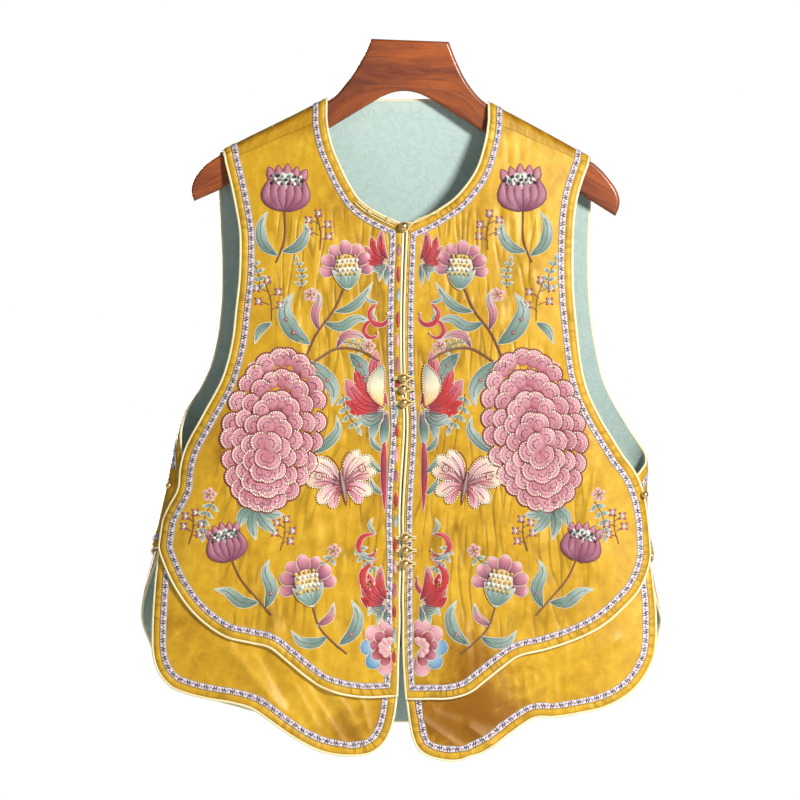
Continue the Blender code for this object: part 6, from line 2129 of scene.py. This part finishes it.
# For each light: its place, its size, and its power as a share of the main light's.
LIGHTS = {
    "key": ((1.45, -2.05, 0.6), 0.5, 1.0),
    "fill": ((-1.9, -1.9, 0.1), 1.6, 0.07),
    "back_light": ((-0.9, 2.2, -0.1), 1.4, 0.85),
}
WORLD_LIGHT = 0.17


def make_stage(looks):
    mesh = bpy.data.meshes.new("floor")
    turns = np.linspace(0, 2 * math.pi, 97)[:-1]
    rim = np.array([np.cos(turns) * FLOOR_RADIUS, np.sin(turns) * FLOOR_RADIUS, 0 * turns + FLOOR_HEIGHT]).T
    mesh.from_pydata(rim.tolist(), [], [list(range(96))])
    mesh.materials.append(floor_paint("floor_paint", looks.floor))
    linked("floor", mesh)
    lens = bpy.data.cameras.new("camera")
    lens.sensor_width = SENSOR_WIDTH
    lens.lens = SENSOR_WIDTH * (CAMERA_DISTANCE + FRONT_PLANE) / FRAME_WIDTH
    lens.clip_end = 5 * CAMERA_DISTANCE
    camera = linked("camera", lens)
    camera.location = (FRAME_MIDDLE[0], -CAMERA_DISTANCE, FRAME_MIDDLE[1])
    camera.rotation_euler = (math.pi / 2, 0, 0)
    bpy.context.scene.camera = camera
    for name, (place, size, share) in LIGHTS.items():
        light = bpy.data.lights.new(name, "AREA")
        light.shape, light.size, light.energy = "DISK", size, looks.key_power * share
        lamp = linked(name, light)
        lamp.location = place
        lamp.rotation_mode = "QUATERNION"
        lamp.rotation_quaternion = (LIT_POINT - Vector(place)).to_track_quat("-Z", "Y")
    world = bpy.data.worlds.new("studio")
    world.use_nodes = True
    nodes, links = world.node_tree.nodes, world.node_tree.links
    lit, seen = nodes["Background"], nodes.new("ShaderNodeBackground")
    for ground, strength in ((lit, WORLD_LIGHT), (seen, 1.0)):
        ground.inputs["Color"].default_value = (1, 1, 1, 1)
        ground.inputs["Strength"].default_value = strength
    mix, rays = nodes.new("ShaderNodeMixShader"), nodes.new("ShaderNodeLightPath")
    links.new(rays.outputs["Is Camera Ray"], mix.inputs[0])
    links.new(lit.outputs[0], mix.inputs[1])
    links.new(seen.outputs[0], mix.inputs[2])
    links.new(mix.outputs[0], nodes["World Output"].inputs["Surface"])
    bpy.context.scene.world = world
    bpy.context.scene.view_settings.view_transform = "Standard"


# ---------------------------------------------------------------- the add-on

def colour(name, description, default):
    return FloatVectorProperty(
        name=name, description=description, subtype="COLOR", size=3, min=0, max=1, default=default)


class ThreadLooks(bpy.types.PropertyGroup):
    """Colours of the threads and beads of the embroidery."""

    rose: colour("Rose thread", "Petals", (0.53, 0.18, 0.22))
    blush: colour("Blush thread", "Petals' pale tips", (0.76, 0.43, 0.45))
    plum: colour("Plum thread", "Petals' roots, buds and edges", (0.17, 0.036, 0.072))
    mauve: colour("Mauve thread", "Tulips", (0.32, 0.10, 0.155))
    wine: colour("Wine thread", "Cords of the great flower", (0.26, 0.02, 0.035))
    red: colour("Red thread", "Ornaments beside the opening", (0.50, 0.022, 0.022))
    straw: colour("Straw thread", "Cups of the carnations", (0.66, 0.44, 0.12))
    cream: colour("Cream thread", "Couched edges and beads", (0.82, 0.70, 0.48))
    pearl: colour("Pearl beads", "Beads of the great flower and the wings", (0.94, 0.85, 0.66))
    white: colour("White thread", "Chequers", (0.84, 0.80, 0.72))
    sage: colour("Sage thread", "Leaves", (0.20, 0.29, 0.24))
    mist: colour("Mist thread", "Leaves' pale tips", (0.48, 0.56, 0.50))
    teal: colour("Teal thread", "Leaves' roots", (0.08, 0.16, 0.14))
    moss: colour("Moss thread", "Midribs", (0.12, 0.12, 0.04))
    bark: colour("Bark thread", "Stems", (0.20, 0.07, 0.03))
    ash: colour("Ash thread", "Wings' roots", (0.24, 0.16, 0.16))
    ink: colour("Black thread", "Small dots", (0.03, 0.03, 0.035))
    sky: colour("Sky thread", "Rosette", (0.30, 0.46, 0.56))
    blue: colour("Blue thread", "Rosette's rim", (0.06, 0.20, 0.36))


class WaistcoatLooks(bpy.types.PropertyGroup):
    """Colours and light that a user may change before the pieces are made."""

    gold: colour("Gold silk", "Silk where it is bright", (0.62, 0.35, 0.018))
    # This brown colours the silk's patina and its painted shade.
    shade: colour("Worn silk", "Silk where its patina is brown", (0.25, 0.092, 0.0015))
    glow: colour("Silk highlight", "Silk where it is rubbed pale", (0.76, 0.49, 0.055))
    teal: colour("Lining", "Ground of the figured lining", (0.45, 0.56, 0.51))
    figure: colour("Lining figure", "Figure woven in the lining", (0.35, 0.47, 0.42))
    ribbon_ground: colour("Ribbon", "Ground of the printed ribbon", (0.78, 0.71, 0.74))
    ribbon_ink: colour("Ribbon zigzags", "Dark zigzags on the ribbon", (0.02, 0.015, 0.02))
    ribbon_pink: colour("Ribbon pink", "Pink dots on the ribbon", (0.52, 0.25, 0.34))
    ribbon_plum: colour("Ribbon plum", "Plum dots on the ribbon", (0.22, 0.06, 0.12))
    cream: colour("Piping", "Satin piping", (0.82, 0.72, 0.44))
    piping_shade: colour("Worn piping", "Piping where it is soiled", (0.62, 0.46, 0.16))
    brass_bright: colour("Brass", "Ball buttons", (0.78, 0.56, 0.24))
    brass_dull: colour("Tarnish and cord shade", "Ball buttons where they are dull", (0.34, 0.20, 0.06))
    cord_bright: colour("Cord", "Loops of the buttons", (0.80, 0.66, 0.30))
    wood_light: colour("Wood", "Hanger's lighter figure", (0.36, 0.080, 0.012))
    wood_dark: colour("Dark wood", "Hanger's darker figure", (0.13, 0.026, 0.008))
    wood_line: colour("Wood grain", "Hanger's grain lines", (0.055, 0.012, 0.006))
    floor: colour("Floor", "Floor of the stage", (0.86, 0.86, 0.85))
    key_power: FloatProperty(
        name="Main light", description="Power of the main light", default=99.0, min=0, unit="POWER")
    threads: PointerProperty(type=ThreadLooks, name="Threads", description="Colours of the embroidery")

    def silk(self):
        return silk_paint("gold_silk_paint", self.gold, self.shade, self.glow)

    def lining(self):
        return lining_paint("lining_silk_paint", self.teal, self.figure)

    def cord(self):
        # The tarnish colour is also the painted shade in the cord's grooves.
        return cord_paint("cord_paint", self.cord_bright, self.brass_dull)

    def brass(self):
        return brass_paint("brass_paint", self.brass_bright, self.brass_dull)


class WAISTCOAT_OT_hanger(bpy.types.Operator):
    """Makes the varnished hanger"""

    bl_idname = "waistcoat.hanger"
    bl_label = "Hanger"

    def execute(self, context):
        make_hanger(context.scene.waistcoat_looks)
        return {"FINISHED"}


class WAISTCOAT_OT_fronts(bpy.types.Operator):
    """Makes both fronts and their lower tiers"""

    bl_idname = "waistcoat.fronts"
    bl_label = "Fronts"

    def execute(self, context):
        make_fronts(context.scene.waistcoat_looks)
        return {"FINISHED"}


class WAISTCOAT_OT_back(bpy.types.Operator):
    """Makes the back, its tier and their linings"""

    bl_idname = "waistcoat.back"
    bl_label = "Back"

    def execute(self, context):
        make_back(context.scene.waistcoat_looks)
        return {"FINISHED"}


class WAISTCOAT_OT_trims(bpy.types.Operator):
    """Makes the ribbons, bindings and piping"""

    bl_idname = "waistcoat.trims"
    bl_label = "Trims"

    def execute(self, context):
        make_trims(context.scene.waistcoat_looks)
        return {"FINISHED"}


class WAISTCOAT_OT_embroidery(bpy.types.Operator):
    """Makes the stitching, couched cords and beads"""

    bl_idname = "waistcoat.embroidery"
    bl_label = "Embroidery"

    def execute(self, context):
        make_embroidery(context.scene.waistcoat_looks)
        return {"FINISHED"}


class WAISTCOAT_OT_fastenings(bpy.types.Operator):
    """Makes the ball buttons, cords and knots"""

    bl_idname = "waistcoat.fastenings"
    bl_label = "Fastenings"

    def execute(self, context):
        make_fastenings(context.scene.waistcoat_looks)
        return {"FINISHED"}


class WAISTCOAT_OT_stage(bpy.types.Operator):
    """Makes the floor, camera and lights"""

    bl_idname = "waistcoat.stage"
    bl_label = "Stage"

    def execute(self, context):
        make_stage(context.scene.waistcoat_looks)
        return {"FINISHED"}


OPERATORS = (WAISTCOAT_OT_hanger, WAISTCOAT_OT_fronts, WAISTCOAT_OT_back, WAISTCOAT_OT_trims,
             WAISTCOAT_OT_embroidery, WAISTCOAT_OT_fastenings, WAISTCOAT_OT_stage)


class WAISTCOAT_PT_pieces(bpy.types.Panel):
    """Lists the pieces and their looks in the sidebar"""

    bl_label = "Waistcoat"
    bl_space_type = "VIEW_3D"
    bl_region_type = "UI"
    bl_category = "Waistcoat"

    def draw(self, context):
        looks = context.scene.waistcoat_looks
        for maker in OPERATORS:
            self.layout.operator(maker.bl_idname)
        for group in (looks, looks.threads):
            for name in type(group).__annotations__:
                if name != "threads":
                    self.layout.prop(group, name)


CLASSES = (ThreadLooks, WaistcoatLooks, *OPERATORS, WAISTCOAT_PT_pieces)


def register():
    for made in CLASSES:
        bpy.utils.register_class(made)
    bpy.types.Scene.waistcoat_looks = PointerProperty(type=WaistcoatLooks)


def unregister():
    del bpy.types.Scene.waistcoat_looks
    for made in reversed(CLASSES):
        bpy.utils.unregister_class(made)


def main():
    register()
    for maker in OPERATORS:
        group, name = maker.bl_idname.split(".")
        getattr(getattr(bpy.ops, group), name)()


if __name__ == "__main__":
    main()
